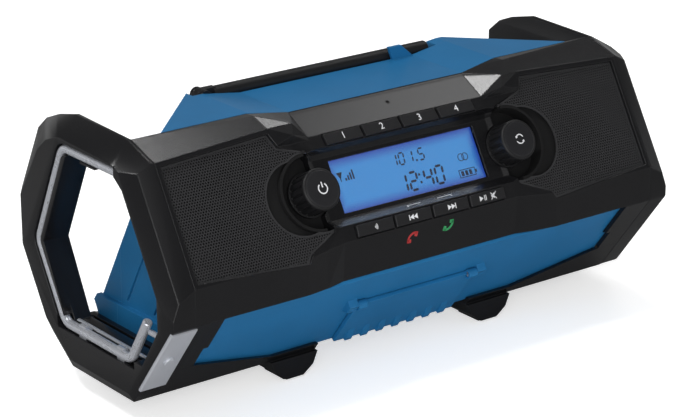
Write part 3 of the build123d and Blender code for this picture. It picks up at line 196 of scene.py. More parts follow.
def turned(profile, steps):
    """A round solid from (radius, height) corners that start and end on its axis."""
    work = bmesh.new()
    rings = []
    for radius, height in profile:
        if radius == 0:
            rings.append([work.verts.new((0, 0, height))])
            continue
        angles = [2 * pi * step / steps for step in range(steps)]
        rings.append([work.verts.new((radius * cos(a), radius * sin(a), height)) for a in angles])
    for low, high in zip(rings, rings[1:]):
        for i in range(steps):
            j = (i + 1) % steps
            if len(low) == 1:
                work.faces.new((low[0], high[i], high[j]))
            elif len(high) == 1:
                work.faces.new((low[i], high[0], low[j]))
            else:
                work.faces.new((low[i], high[i], high[j], low[j]))
    return finished(work, "turned")


class Drawing:
    """Flat marks, as closed outlines in (right, up), that become thin solids on a surface."""

    def __init__(self):
        self.outlines = []

    def polygon(self, points):
        self.outlines.append([Vector(point) for point in points])

    def bar(self, start, end, width):
        start, end = Vector(start), Vector(end)
        side = (end - start).normalized().orthogonal() * (width / 2)
        self.polygon([start - side, end - side, end + side, start + side])

    def arc(self, middle, radius, start, end, width, steps=16):
        """A bent bar between two angles in degrees."""
        angles = [radians(start + (end - start) * step / steps) for step in range(steps + 1)]
        middle = Vector(middle)
        for first, second in zip(angles, angles[1:]):
            corners = [(radius - width / 2, first), (radius + width / 2, first),
                       (radius + width / 2, second), (radius - width / 2, second)]
            self.polygon([middle + Vector((cos(a), sin(a))) * r for r, a in corners])

    def triangle(self, tip, back, half):
        """A triangle from its tip to the middle of its back edge."""
        tip, back = Vector(tip), Vector(back)
        side = (back - tip).normalized().orthogonal() * half
        self.polygon([tip, back - side, back + side])

    def handset(self, middle, tilt, size):
        """A telephone handset: a bent bar with a block at each end."""
        middle = Vector(middle)
        hub = middle + Vector((sin(radians(tilt)), -cos(radians(tilt)))) * size * 0.62
        self.arc(hub, size * 0.8, 35 + tilt, 145 + tilt, size * 0.24)
        for angle in (38 + tilt, 142 + tilt):
            spoke = Vector((cos(radians(angle)), sin(radians(angle))))
            self.bar(hub + spoke * size * 0.42, hub + spoke * size * 0.9, size * 0.36)

    def digit(self, figure, corner, high):
        """A seven-segment figure from its lower left corner, leaning a little."""
        lit = {"0": "abcdef", "1": "bc", "2": "abdeg", "4": "bcfg", "5": "acdfg"}[figure]
        wide, half, gap, taper_size, lean = high * 0.52, high / 2, high * 0.045, high * 0.07, 0.09
        ends = {"a": ((0, high), (wide, high)), "b": ((wide, high), (wide, half)),
                "c": ((wide, half), (wide, 0)), "d": ((0, 0), (wide, 0)), "e": ((0, half), (0, 0)),
                "f": ((0, high), (0, half)), "g": ((0, half), (wide, half))}
        for segment in lit:
            start, end = Vector(ends[segment][0]), Vector(ends[segment][1])
            along = (end - start).normalized()
            side = along.orthogonal() * taper_size
            start, end = start + along * gap, end - along * gap
            taper = along * taper_size
            points = [start, start + taper + side, end - taper + side, end, end - taper - side,
                      start + taper - side]
            self.polygon([Vector(corner) + Vector((point.x + point.y * lean, point.y))
                          for point in points])

    def add(self, name, middle, up, unit, thick, ink, body):
        """Make the marks, drawn in that unit, a piece of solids on the surface through middle."""
        out = RIGHT.cross(up).normalized()
        work = bmesh.new()
        for points in self.outlines:
            corners = [middle + (RIGHT * point.x + up * point.y) * unit for point in points]
            low = [work.verts.new(corner - out * thick * 0.5) for corner in corners]
            high = [work.verts.new(corner + out * thick) for corner in corners]
            work.faces.new(low[::-1])
            work.faces.new(high)
            for i in range(len(points)):
                j = (i + 1) % len(points)
                work.faces.new((low[i], low[j], high[j], high[i]))
        add_piece(name, finished(work, name), ink, body, "lcd")


def digit_mesh(text, middle, up, size, thick):
    """A plain number as a thin solid."""
    letters = bpy.data.curves.new("number", "FONT")
    letters.body = text
    letters.size = size
    letters.extrude = thick
    letters.align_x = "CENTER"
    letters.align_y = "CENTER"
    return placed(evaluated_mesh(scratch_object("number", letters)), middle, up)


# ---- settings --------------------------------------------------------------------------------------
class RadioSizes(bpy.types.PropertyGroup):
    """Sizes of the details that are added to the model."""
    hole_pitch: FloatProperty(name="Hole pitch", description="Distance between the grille's holes",
                              default=1.65 * MM, unit="LENGTH")
    hole_share: FloatProperty(name="Hole share", description="Hole diameter over pitch", default=0.7,
                              subtype="FACTOR")
    grille_thick: FloatProperty(name="Grille thickness", description="Thickness of the grille's sheet",
                                default=0.8 * MM, unit="LENGTH")
    recess_out: FloatProperty(name="Recess middle", description="Middle of a knob's recess, outwards",
                              default=79.0 * MM, unit="LENGTH")
    recess_up: FloatProperty(name="Recess height", description="Middle of a knob's recess, up the face",
                             default=68.3 * MM, unit="LENGTH")
    recess_radius: FloatProperty(name="Recess radius", description="Radius of the recess in a grille",
                                 default=20.0 * MM, unit="LENGTH")
    cloth_depth: FloatProperty(name="Cloth depth", description="How far the dark cloth lies behind a "
                               "grille's front", default=2.6 * MM, unit="LENGTH")
    edge_round: FloatProperty(name="Edge rounding", description="Radius of the guards' edges",
                              default=1.45 * MM, unit="LENGTH")
    rim_width: FloatProperty(name="Rim width", description="Unperforated border of a grille",
                             default=1.0 * MM, unit="LENGTH")
    print_thick: FloatProperty(name="Print thickness", description="How proud the printed marks stand",
                               default=0.06 * MM, unit="LENGTH")
    cap_radius: FloatProperty(name="Cap radius", description="Radius of the smooth cap on a knob",
                              default=10.1 * MM, unit="LENGTH")
    cap_rise: FloatProperty(name="Cap rise", description="How far a knob's cap is domed",
                            default=0.5 * MM, unit="LENGTH")
    number_size: FloatProperty(name="Number size", description="Height of the preset keys' numbers",
                               default=5.6 * MM, unit="LENGTH")
    mark_size: FloatProperty(name="Mark size", description="Height of the lower keys' marks",
                             default=3.0 * MM, unit="LENGTH")
    cap_mark: FloatProperty(name="Cap mark size", description="Height of the marks on the knobs",
                            default=6.2 * MM, unit="LENGTH")
    handset_size: FloatProperty(name="Handset size", description="Height of the two handset marks",
                                default=5.6 * MM, unit="LENGTH")


class RadioColours(bpy.types.PropertyGroup):
    """Colours of the finishes."""
    blue: FloatVectorProperty(name="Blue", description="Housing and flap", subtype="COLOR", size=3,
                              default=(0.017, 0.158, 0.36))
    black: FloatVectorProperty(name="Black", description="Guards, bezel and rails", subtype="COLOR",
                               size=3, default=(0.008, 0.008, 0.009))
    steel: FloatVectorProperty(name="Steel", description="Hook and plate", subtype="COLOR", size=3,
                               default=(0.62, 0.64, 0.69))
    print_white: FloatVectorProperty(name="Print", description="Printed marks", subtype="COLOR",
                                     size=3, default=(0.75, 0.76, 0.78))
    display: FloatVectorProperty(name="Display", description="Middle of the lit display",
                                 subtype="COLOR", size=3, default=(0.030, 0.225, 0.53))


class RadioStage(bpy.types.PropertyGroup):
    """Floor, lamps and camera."""
    floor_size: FloatProperty(name="Floor size", description="Side of the floor", default=6.0,
                              unit="LENGTH")
    key_power: FloatProperty(name="Key lamp", description="Power of the lamp above on the left",
                             default=8.0, unit="POWER")
    top_power: FloatProperty(name="Top lamp", description="Power of the lamp above and behind",
                             default=1.8, unit="POWER")
    side_power: FloatProperty(name="Side lamp", description="Power of the lamp above on the right",
                              default=1.7, unit="POWER")
    fill_power: FloatProperty(name="Fill lamp", description="Power of the lamp in front", default=17.0,
                              unit="POWER")
    world_strength: FloatProperty(name="World", description="Strength of the surroundings' soft light",
                                  default=0.4)
    lens: FloatProperty(name="Lens", description="Focal length in millimetres", default=135.4)


# ---- shader groups ---------------------------------------------------------------------------------
def node_group(name, inputs, outputs):
    """An empty shader group, with its sockets as (name, type, default)."""
    group = bpy.data.node_groups.new(name, "ShaderNodeTree")
    for label, kind, default in inputs:
        socket = group.interface.new_socket(label, in_out="INPUT", socket_type="NodeSocket" + kind)
        socket.default_value = default
    for label, kind in outputs:
        group.interface.new_socket(label, in_out="OUTPUT", socket_type="NodeSocket" + kind)
    return group, group.nodes.new("NodeGroupInput"), group.nodes.new("NodeGroupOutput")


def set_inputs(tree, node, inputs):
    """Give a node's inputs their values, or the sockets to link from."""
    for key, value in inputs.items():
        if isinstance(value, bpy.types.NodeSocket):
            tree.links.new(value, node.inputs[key])
        else:
            node.inputs[key].default_value = value


def new_node(tree, kind, inputs=None, **settings):
    """A node with its settings and its inputs."""
    node = tree.nodes.new(kind)
    for key, value in settings.items():
        setattr(node, key, value)
    set_inputs(tree, node, inputs or {})
    return node


def new_material(name):
    """A material, its node tree and its shader."""
    material = bpy.data.materials.new(name)
    material.use_nodes = True
    return material, material.node_tree, material.node_tree.nodes["Principled BSDF"]


def math_node(tree, operation, *values, clamp=False):
    """The result of one sum."""
    return new_node(tree, "ShaderNodeMath", dict(enumerate(values)), operation=operation,
                    use_clamp=clamp).outputs[0]


def times(tree, first, second, clamp=False):
    """Two values multiplied."""
    return math_node(tree, "MULTIPLY", first, second, clamp=clamp)


def mixed(tree, share, first, second):
    """A mix of two colours."""
    return new_node(tree, "ShaderNodeMix", {0: share, 6: first, 7: second}, data_type="RGBA").outputs[2]


def make_moulded_group():
    """Fine grain, slow colour drift and worn, rounded edges."""
    group, given, result = node_group(
        "Moulded surface",
        [("Colour", "Color", (0.1, 0.1, 0.1, 1)), ("Worn Colour", "Color", (0.3, 0.3, 0.3, 1)),
         ("Roughness", "Float", 0.5), ("Grain Scale", "Float", 1400.0), ("Grain Depth", "Float", 0.00004),
         ("Edge Radius", "Float", 0.0008), ("Wear", "Float", 0.3)],
        [("Colour", "Color"), ("Roughness", "Float"), ("Normal", "Vector")])
    place = new_node(group, "ShaderNodeTexCoord").outputs["Object"]
    grain = new_node(group, "ShaderNodeTexNoise", {"Vector": place, "Scale": given.outputs["Grain Scale"],
                                                   "Detail": 3.0, "Roughness": 0.6})
    drift = new_node(group, "ShaderNodeTexNoise", {"Vector": place, "Scale": 22.0, "Detail": 4.0})
    bevel = new_node(group, "ShaderNodeBevel", {"Radius": given.outputs["Edge Radius"]}, samples=6)
    true_normal = new_node(group, "ShaderNodeNewGeometry").outputs["Normal"]
    agreement = new_node(group, "ShaderNodeVectorMath", {0: bevel.outputs[0], 1: true_normal},
                         operation="DOT_PRODUCT").outputs["Value"]
    edge = times(group, math_node(group, "SUBTRACT", 1.0, agreement), 7.0, clamp=True)
    worn = times(group, drift.outputs["Fac"], given.outputs["Wear"])
    patchy = times(group, edge, worn, clamp=True)
    drifted = new_node(group, "ShaderNodeMapRange", {"Value": drift.outputs["Fac"], "From Min": 0.3,
                                                     "From Max": 0.7, "To Min": 0.93, "To Max": 1.07})
    tinted = new_node(group, "ShaderNodeVectorMath", {
        0: given.outputs["Colour"], "Scale": drifted.outputs["Result"]}, operation="SCALE")
    colour = mixed(group, patchy, tinted.outputs[0], given.outputs["Worn Colour"])
    spread = times(group, math_node(group, "SUBTRACT", grain.outputs["Fac"], 0.5), 0.05)
    roughness = math_node(group, "ADD", given.outputs["Roughness"], spread, clamp=True)
    bump = new_node(group, "ShaderNodeBump", {"Height": grain.outputs["Fac"], "Normal": bevel.outputs[0],
                                              "Distance": given.outputs["Grain Depth"], "Strength": 1.0})
    set_inputs(group, result, {"Colour": colour, "Roughness": roughness, "Normal": bump.outputs[0]})


def make_brushed_group():
    """Long fine scratches and smudges on drawn or rolled metal."""
    group, given, result = node_group(
        "Drawn metal",
        [("Colour", "Color", (0.6, 0.6, 0.6, 1)), ("Roughness", "Float", 0.3),
         ("Stretch", "Vector", (900.0, 60.0, 900.0)), ("Depth", "Float", 0.000005),
         ("Edge Radius", "Float", 0.0004)],
        [("Colour", "Color"), ("Roughness", "Float"), ("Normal", "Vector")])
    place = new_node(group, "ShaderNodeTexCoord").outputs["Object"]
    stretched = new_node(group, "ShaderNodeVectorMath", {0: place, 1: given.outputs["Stretch"]},
                         operation="MULTIPLY").outputs[0]
    lines = new_node(group, "ShaderNodeTexNoise", {"Vector": stretched, "Scale": 1.0, "Detail": 4.0})
    smudge = new_node(group, "ShaderNodeTexNoise", {"Vector": place, "Scale": 45.0, "Detail": 3.0})
    shade = new_node(group, "ShaderNodeMapRange", {"Value": smudge.outputs["Fac"], "From Min": 0.3,
                                                   "From Max": 0.7, "To Min": 0.95, "To Max": 1.03})
    tinted = new_node(group, "ShaderNodeVectorMath", {
        0: given.outputs["Colour"], "Scale": shade.outputs["Result"]}, operation="SCALE")
    spread = times(group, math_node(group, "SUBTRACT", lines.outputs["Fac"], 0.5), 0.1)
    roughness = math_node(group, "ADD", given.outputs["Roughness"], spread, clamp=True)
    bevel = new_node(group, "ShaderNodeBevel", {"Radius": given.outputs["Edge Radius"]}, samples=6)
    bump = new_node(group, "ShaderNodeBump", {"Height": lines.outputs["Fac"], "Normal": bevel.outputs[0],
                                              "Distance": given.outputs["Depth"], "Strength": 1.0})
    set_inputs(group, result, {"Colour": tinted.outputs[0], "Roughness": roughness,
                               "Normal": bump.outputs[0]})


def grouped_material(name, group, values, metallic=0.0, specular=0.5):
    """A material whose surface comes from a shader group."""
    material, tree, shader = new_material(name)
    surface = new_node(tree, "ShaderNodeGroup", values, node_tree=bpy.data.node_groups[group]).outputs
    set_inputs(tree, shader, {
        "Metallic": metallic, "Specular IOR Level": specular, "Base Color": surface["Colour"],
        "Roughness": surface["Roughness"], "Normal": surface["Normal"]})
    return material


def moulded(name, colour, roughness, scale=1400.0, depth=0.04, edge=0.8, wear=0.3, worn=None, gloss=0.4):
    """A moulded plastic or rubber. Depth and edge are in millimetres."""
    worn = worn or [min(1.0, value * 1.8 + 0.02) for value in colour[:3]]
    return grouped_material(name, "Moulded surface", {
        "Colour": (*colour[:3], 1), "Worn Colour": (*worn[:3], 1), "Roughness": roughness,
        "Grain Scale": scale, "Grain Depth": depth * MM, "Edge Radius": edge * MM, "Wear": wear},
        specular=gloss)


def drawn_metal(name, colour, roughness, stretch, metallic=1.0):
    """A bright metal with scratches across the directions that it is stretched in."""
    return grouped_material(name, "Drawn metal", {
        "Colour": (*colour[:3], 1), "Roughness": roughness, "Stretch": stretch,
        "Edge Radius": 0.4 * MM}, metallic=metallic)


def make_display_material(name, colour):
    """The lit liquid crystal: bright in the middle, deep blue towards its edges."""
    material, tree, shader = new_material(name)
    place = new_node(tree, "ShaderNodeTexCoord").outputs["Object"]
    low, high = reach("display_window", UP)
    half_wide = reach("display_window", RIGHT)[1]
    along = new_node(tree, "ShaderNodeVectorMath", {0: place, 1: tuple(RIGHT)}, operation="DOT_PRODUCT")
    above = new_node(tree, "ShaderNodeVectorMath", {0: place, 1: tuple(UP)}, operation="DOT_PRODUCT")
    edge = None
    sides = [(along.outputs["Value"], -half_wide, 1), (along.outputs["Value"], half_wide, -1),
             (above.outputs["Value"], low, 1), (above.outputs["Value"], high, -1)]
    for value, limit, way in sides:
        inside = times(tree, math_node(tree, "SUBTRACT", value, limit), way / (5.5 * MM))
        inside = math_node(tree, "MINIMUM", inside, 1.0)
        edge = inside if edge is None else math_node(tree, "MINIMUM", edge, inside)
    edge = math_node(tree, "SMOOTH_MIN", math_node(tree, "MAXIMUM", edge, 0.0), 1.0, 0.3)
    mottle = new_node(tree, "ShaderNodeTexNoise", {"Vector": place, "Scale": 60.0, "Detail": 2.0})
    mottled = math_node(tree, "ADD", 0.94, times(tree, mottle.outputs["Fac"], 0.12))
    edge = times(tree, edge, mottled, clamp=True)
    deep = (0.012, 0.040, 0.30, 1)
    set_inputs(tree, shader, {
        "Base Color": (0.01, 0.03, 0.09, 1), "Roughness": 0.35, "Emission Strength": 0.95,
        "Emission Color": mixed(tree, edge, deep, (*colour[:3], 1))})
    return material


def make_glass_material(name):
    """Clear and almost colourless."""
    material, tree, shader = new_material(name)
    set_inputs(tree, shader, {"Base Color": (0.96, 0.98, 1.0, 1), "Roughness": 0.04,
                              "Transmission Weight": 1.0, "IOR": 1.3})
    return material


def make_floor_material(name):
    """Pale floor that a camera ray sees as white, but for the shadow, and a reflection as dark."""
    material, tree, shader = new_material(name)
    rays = new_node(tree, "ShaderNodeLightPath").outputs
    seen = math_node(tree, "MAXIMUM", rays["Is Camera Ray"], rays["Is Transmission Ray"])
    dimmed = times(tree, rays["Is Glossy Ray"], FLOOR_DIMMED)
    set_inputs(tree, shader, {
        "Emission Color": (1, 1, 1, 1), "Emission Strength": times(tree, seen, FLOOR_GLOW),
        "Base Color": math_node(tree, "SUBTRACT", FLOOR_PALE, dimmed), "Roughness": 0.6,
        "Specular IOR Level": 0.1})
    return material


# ---- perforated sheet ------------------------------------------------------------------------------
def make_perforated_tree():
    """Six-sided cells, each with a round hole, on a close-packed lattice inside a flat outline."""
    tree = bpy.data.node_groups.new("Perforated sheet", "GeometryNodeTree")
    for label, kind in (("Outline", "Geometry"), ("Pitch", "Float"), ("Hole Share", "Float"),
                        ("Thickness", "Float"), ("Margin", "Float"), ("Columns", "Int"), ("Rows", "Int"),
                        ("Material", "Material")):
        tree.interface.new_socket(label, in_out="INPUT", socket_type="NodeSocket" + kind)
    tree.interface.new_socket("Geometry", in_out="OUTPUT", socket_type="NodeSocketGeometry")
    given = tree.nodes.new("NodeGroupInput").outputs
    pitch = given["Pitch"]
    row = times(tree, pitch, sqrt(0.75))
    wide = times(tree, pitch, math_node(tree, "SUBTRACT", given["Columns"], 1))
    high = times(tree, row, math_node(tree, "SUBTRACT", given["Rows"], 1))
    grid = new_node(tree, "GeometryNodeMeshGrid", {
        "Size X": wide, "Size Y": high, "Vertices X": given["Columns"], "Vertices Y": given["Rows"]})
    place = new_node(tree, "GeometryNodeInputPosition").outputs[0]
    height = new_node(tree, "ShaderNodeSeparateXYZ", {0: place}).outputs["Y"]
    which = math_node(tree, "ROUND", math_node(tree, "DIVIDE", height, row))
    odd = math_node(tree, "FLOORED_MODULO", which, 2.0)
    aside = times(tree, odd, times(tree, pitch, 0.5))
    step = new_node(tree, "ShaderNodeCombineXYZ", {"X": aside}).outputs[0]
    lattice = new_node(tree, "GeometryNodeSetPosition", {"Geometry": grid.outputs["Mesh"], "Offset": step})
    above = new_node(tree, "ShaderNodeVectorMath", {0: place, 1: (0, 0, MM)}, operation="ADD").outputs[0]
    over = new_node(tree, "GeometryNodeRaycast", {
        "Target Geometry": given["Outline"], "Source Position": above, "Ray Direction": (0, 0, -1),
        "Ray Length": 2 * MM}).outputs["Is Hit"]
    border = new_node(tree, "GeometryNodeProximity", {0: given["Outline"]}, target_element="EDGES")
    clear = new_node(tree, "FunctionNodeCompare", {0: border.outputs["Distance"], 1: given["Margin"]},
                     operation="GREATER_THAN").outputs[0]
    kept = new_node(tree, "FunctionNodeBooleanMath", {0: over, 1: clear}, operation="AND").outputs[0]
    rim = new_node(tree, "GeometryNodeCurvePrimitiveCircle", {
        "Resolution": 6, "Radius": math_node(tree, "DIVIDE", pitch, sqrt(3))}).outputs["Curve"]
    rim = new_node(tree, "GeometryNodeTransform", {"Geometry": rim, "Rotation": (0, 0, pi / 6)}).outputs[0]
    radius = times(tree, times(tree, pitch, given["Hole Share"]), 0.5)
    hole = new_node(tree, "GeometryNodeCurvePrimitiveCircle", {"Resolution": 12, "Radius": radius})
    both = new_node(tree, "GeometryNodeJoinGeometry", {0: rim}).inputs[0]
    tree.links.new(hole.outputs["Curve"], both)
    face = new_node(tree, "GeometryNodeFillCurve", {0: both.node.outputs[0]}, mode="TRIANGLES")
    tube = new_node(tree, "GeometryNodeMeshCylinder", {
        "Vertices": 12, "Radius": radius, "Depth": given["Thickness"]}, fill_type="NONE")
    wall = new_node(tree, "GeometryNodeFlipFaces", {0: tube.outputs["Mesh"]}).outputs[0]
    down = new_node(tree, "ShaderNodeCombineXYZ", {"Z": times(tree, given["Thickness"], -0.5)}).outputs[0]
    wall = new_node(tree, "GeometryNodeTransform", {"Geometry": wall, "Translation": down}).outputs[0]
    cell = new_node(tree, "GeometryNodeJoinGeometry", {0: face.outputs[0]})
    tree.links.new(wall, cell.inputs[0])
    cells = new_node(tree, "GeometryNodeInstanceOnPoints", {
        "Points": lattice.outputs[0], "Selection": kept, "Instance": cell.outputs[0]})
    solid = new_node(tree, "GeometryNodeRealizeInstances", {0: cells.outputs[0]})
    painted = new_node(tree, "GeometryNodeSetMaterial", {"Geometry": solid.outputs[0],
                                                         "Material": given["Material"]})
    new_node(tree, "NodeGroupOutput", {0: painted.outputs[0]})
    return tree


def applied_nodes(name, data, tree, values):
    """The mesh that a geometry tree makes from data, with its inputs set by name."""
    scratch = scratch_object(name, data)
    modifier = scratch.modifiers.new(name, "NODES")
    modifier.node_group = tree
    for item in tree.interface.items_tree:
        if item.item_type == "SOCKET" and item.in_out == "INPUT" and item.name in values:
            modifier[item.identifier] = values[item.name]
    return evaluated_mesh(scratch)


def front_outline(node):
    """The front of a node as a flat face in (right, up), and the point of the leaning face it is at."""
    work = bmesh.new()
    work.from_mesh(NODES[node].data)
    bmesh.ops.remove_doubles(work, verts=work.verts, dist=MERGE)
    bmesh.ops.dissolve_limit(work, angle_limit=FLAT, verts=work.verts, edges=work.edges)
    front = max((face for face in work.faces if face.normal.dot(OUT) > 0.99),
                key=lambda face: face.calc_area())
    corners = [loop.vert.co.copy() for loop in front.loops]
    work.free()
    middle = sum(corners, Vector()) / len(corners)
    return [((corner - middle).dot(RIGHT), (corner - middle).dot(UP)) for corner in corners], middle


def recessed(outline, x, y, radius):
    """An anticlockwise outline whose corners inside a circle give way to a round recess."""
    distances = [hypot(corner[0] - x, corner[1] - y) for corner in outline]
    farthest = distances.index(max(distances))
    outline = outline[farthest:] + outline[:farthest]
    inside = [corner for corner in outline if hypot(corner[0] - x, corner[1] - y) < radius]
    start, end = (atan2(corner[1] - y, corner[0] - x) for corner in (inside[0], inside[-1]))
    span = (start - end) % (2 * pi)
    angles = [start - span * i / RECESS_STEPS for i in range(RECESS_STEPS + 1)]
    place = outline.index(inside[0])
    outline[place:place + len(inside)] = [(x + radius * cos(a), y + radius * sin(a)) for a in angles]
    return outline


def rim_mesh(outline, width, thick, proud):
    """A flat band inside an outline."""
    work = bmesh.new()
    inner = work.faces.new([work.verts.new((x, y, proud - thick)) for x, y in outline])
    work.normal_update()
    bmesh.ops.inset_region(work, faces=[inner], thickness=width, use_boundary=True, use_even_offset=True)
    bmesh.ops.delete(work, geom=[inner], context="FACES")
    return thickened(work, thick, "rim")


def plate_mesh(outline, thick):
    """A flat plate of an outline."""
    work = bmesh.new()
    work.faces.new([work.verts.new((x, y, 0)) for x, y in outline])
    return thickened(work, thick, "plate")


# ---- operators -------------------------------------------------------------------------------------
class RADIO_OT_finishes(bpy.types.Operator):
    """Make every finish and give each node of the model its own"""
    bl_idname = "radio.finishes"
    bl_label = "Finishes"

    def execute(self, context):
        colours = context.scene.radio_colours
        make_moulded_group()
        make_brushed_group()
        black = colours.black
        moulded("Blue plastic", colours.blue, 0.4, wear=0.35, gloss=0.2)
        moulded("Black plastic", black, 0.26, depth=0.015, wear=0.3, worn=(0.05, 0.05, 0.055))
        moulded("Key plastic", [value * 1.5 for value in black], 0.45, edge=0.5, wear=0.4)
        moulded("Knob rubber", [value * 1.2 for value in black], 0.5, scale=900, edge=0.5)
        moulded("Foot rubber", [value * 0.7 for value in black], 0.8, scale=500, depth=0.1)
        moulded("Grille paint", (0.032, 0.032, 0.034), 0.42, scale=3000, depth=0.02, edge=0.05, wear=0.0)
        moulded("Speaker cone", (0.02, 0.02, 0.02), 0.7, scale=700, depth=0.1)
        moulded("Painted steel", (0.03, 0.03, 0.03), 0.4)
        moulded("Magnet iron", (0.09, 0.09, 0.1), 0.5, scale=400, depth=0.1)
        moulded("White diffuser", (0.8, 0.82, 0.85), 0.5)
        moulded("Board lacquer", (0.01, 0.09, 0.035), 0.35, scale=300, depth=0.02)
        moulded("Component plastic", (0.03, 0.03, 0.033), 0.45)
        moulded("Antenna sleeve", [value * 0.9 for value in black], 0.45, scale=600)
        moulded("White print", colours.print_white, 0.5, edge=0.02, wear=0.0)
        moulded("Red print", (0.45, 0.03, 0.03), 0.5, edge=0.02, wear=0.0)
        moulded("Green print", (0.03, 0.30, 0.10), 0.5, edge=0.02, wear=0.0)
        moulded("Display ink", (0.0015, 0.006, 0.035), 0.5, edge=0.02, wear=0.0)
        # near-black and matt, darker than the black plastic: painted shade for the speaker wells and, as a sheet,
        # behind the grille holes
        moulded("Matt baffle", (0.004, 0.004, 0.0045), 0.85, scale=900, edge=0.2, wear=0.0)
        # near-black: painted shade at the bottom of the microphone hole
        moulded("Dark opening", (0.002, 0.002, 0.002), 0.9, edge=0.02, wear=0.0)
        moulded("Cap plastic", [value * 2.0 for value in black], 0.33, scale=2200, depth=0.01, edge=0.3,
                wear=0.1)
        drawn_metal("Drawn steel", colours.steel, 0.28, (1200.0, 90.0, 90.0), metallic=0.6)
        drawn_metal("Plate steel", colours.steel, 0.45, (60.0, 700.0, 700.0), metallic=0.5)
        drawn_metal("Socket metal", [value * 0.8 for value in colours.steel], 0.35, (500.0, 500.0, 500.0))
        make_display_material("Lit display", colours.display)
        make_glass_material("Display window")
        by_slot = {
            "blue_plastic": "Blue plastic", "black_plastic": "Black plastic", "key_plastic": "Key plastic",
            "knob_rubber": "Knob rubber", "foot_rubber": "Foot rubber", "grille_metal": "Grille paint",
            "cone": "Speaker cone", "basket_steel": "Painted steel", "magnet": "Magnet iron",
            "window": "Display window", "lcd": "Lit display", "light": "White diffuser",
            "board": "Board lacquer", "component": "Component plastic", "steel": "Drawn steel",
            "socket_metal": "Socket metal", "antenna_rubber": "Antenna sleeve",
        }
        for entry in frame["record"]["subparts"]:
            node = NODES[entry["node"]]
            node.data.materials.clear()
            node.data.materials.append(bpy.data.materials[by_slot[entry["material_slot"]]])
        # the baffles are made near-black as painted shade in the speaker wells
        for name in ("baffle_left", "baffle_right"):
            NODES[name].data.materials[0] = bpy.data.materials["Matt baffle"]
        for name in ("hook_plate", "plate_screw"):
            NODES[name].data.materials[0] = bpy.data.materials["Plate steel"]
        return {"FINISHED"}


class RADIO_OT_grilles(bpy.types.Operator):
    """Replace both speaker grilles with perforated sheet in a plain rim over a near-black sheet of painted shade
    """
    bl_idname = "radio.grilles"
    bl_label = "Speaker grilles"

    def execute(self, context):
        sizes = context.scene.radio_sizes
        tree = make_perforated_tree()
        for side in ("left", "right"):
            whole, middle = front_outline("grille_" + side)
            way = -1 if side == "left" else 1
            outline = recessed(whole, way * sizes.recess_out - middle.dot(RIGHT),
                               sizes.recess_up - middle.dot(UP), sizes.recess_radius)
            flat = bpy.data.meshes.new("outline")
            flat.from_pydata([(x, y, 0) for x, y in outline], [], [tuple(range(len(outline)))])
            wide = max(abs(x) for x, _ in outline) * 2
            high = max(abs(y) for _, y in outline) * 2
            cells = applied_nodes("perforated_" + side, flat, tree, {
                "Pitch": sizes.hole_pitch, "Hole Share": sizes.hole_share,
                "Thickness": sizes.grille_thick, "Margin": sizes.rim_width * 0.6,
                "Columns": 2 * int(wide / sizes.hole_pitch / 2) + 5,
                "Rows": 2 * int(high / sizes.hole_pitch / sqrt(3)) + 5,
                "Material": bpy.data.materials["Grille paint"]})
            rim = rim_mesh(outline, sizes.rim_width, sizes.grille_thick, sizes.print_thick)
            sheet = placed(joined([cells, rim], "perforated_" + side), middle - OUT * sizes.print_thick, UP)
            add_piece("perforated_" + side, sheet, "Grille paint", "radio", "grille_metal",
                      "grille_" + side)
            # a near-black sheet behind the holes makes them dark: painted shade
            shade_sheet = placed(plate_mesh(whole, sizes.print_thick), middle - OUT * sizes.cloth_depth, UP)
            add_piece("cloth_" + side, shade_sheet, "Matt baffle", "radio", "cone")
        return {"FINISHED"}


class RADIO_OT_roundings(bpy.types.Operator):
    """Replace the two end guards with copies whose edges are rounded"""
    bl_idname = "radio.roundings"
    bl_label = "Rounded guards"

    def execute(self, context):
        width = context.scene.radio_sizes.edge_round
        for node in ("end_guard_left", "end_guard_right"):
            mesh = rounded_copy(node, width)
            add_piece(node + "_rounded", mesh, "Black plastic", "radio", "black_plastic", node)
        return {"FINISHED"}


class RADIO_OT_key_marks(bpy.types.Operator):
    """Print the numbers and the marks on the keys"""
    bl_idname = "radio.key_marks"
    bl_label = "Key marks"

    def execute(self, context):
        sizes = context.scene.radio_sizes
        thick = sizes.print_thick
        for number in range(1, 5):
            node = f"preset_key_{number}"
            middle, up = outer_face(node, OUT)
            mesh = digit_mesh(str(number), middle, up, sizes.number_size, thick)
            add_piece("number_" + str(number), mesh, "White print", node, "lcd")
        # the marks are drawn in halves of their height
        waves, back, forward, play = Drawing(), Drawing(), Drawing(), Drawing()
        for radius in (0.5, 1.0, 1.5):
            waves.arc((-0.7, 0), radius, -42, 42, 0.26)
        back.bar((-2.0, -1), (-2.0, 1), 0.35)
        back.triangle((-1.8, 0), (-0.1, 0), 1)
        back.triangle((-0.1, 0), (1.6, 0), 1)
        forward.triangle((0.1, 0), (-1.6, 0), 1)
        forward.triangle((1.8, 0), (0.1, 0), 1)
        forward.bar((2.0, -1), (2.0, 1), 0.35)
        play.triangle((-2.2, 0), (-3.9, 0), 1)
        for x in (-1.6, -0.9):
            play.bar((x, -1), (x, 1), 0.32)
        play.polygon([(1.6, -0.45), (2.2, -0.45), (3.0, -1.1), (3.0, 1.1), (2.2, 0.45), (1.6, 0.45)])
        play.bar((1.4, 1.3), (3.9, -1.3), 0.28)
        play.bar((3.9, 1.3), (1.4, -1.3), 0.28)
        marks = {"pairing_key": waves, "back_key": back, "forward_key": forward, "play_key": play}
        for node, drawing in marks.items():
            middle, up = outer_face(node, OUT)
            drawing.add("mark_" + node, middle, up, sizes.mark_size / 2, thick, "White print", node)
        return {"FINISHED"}


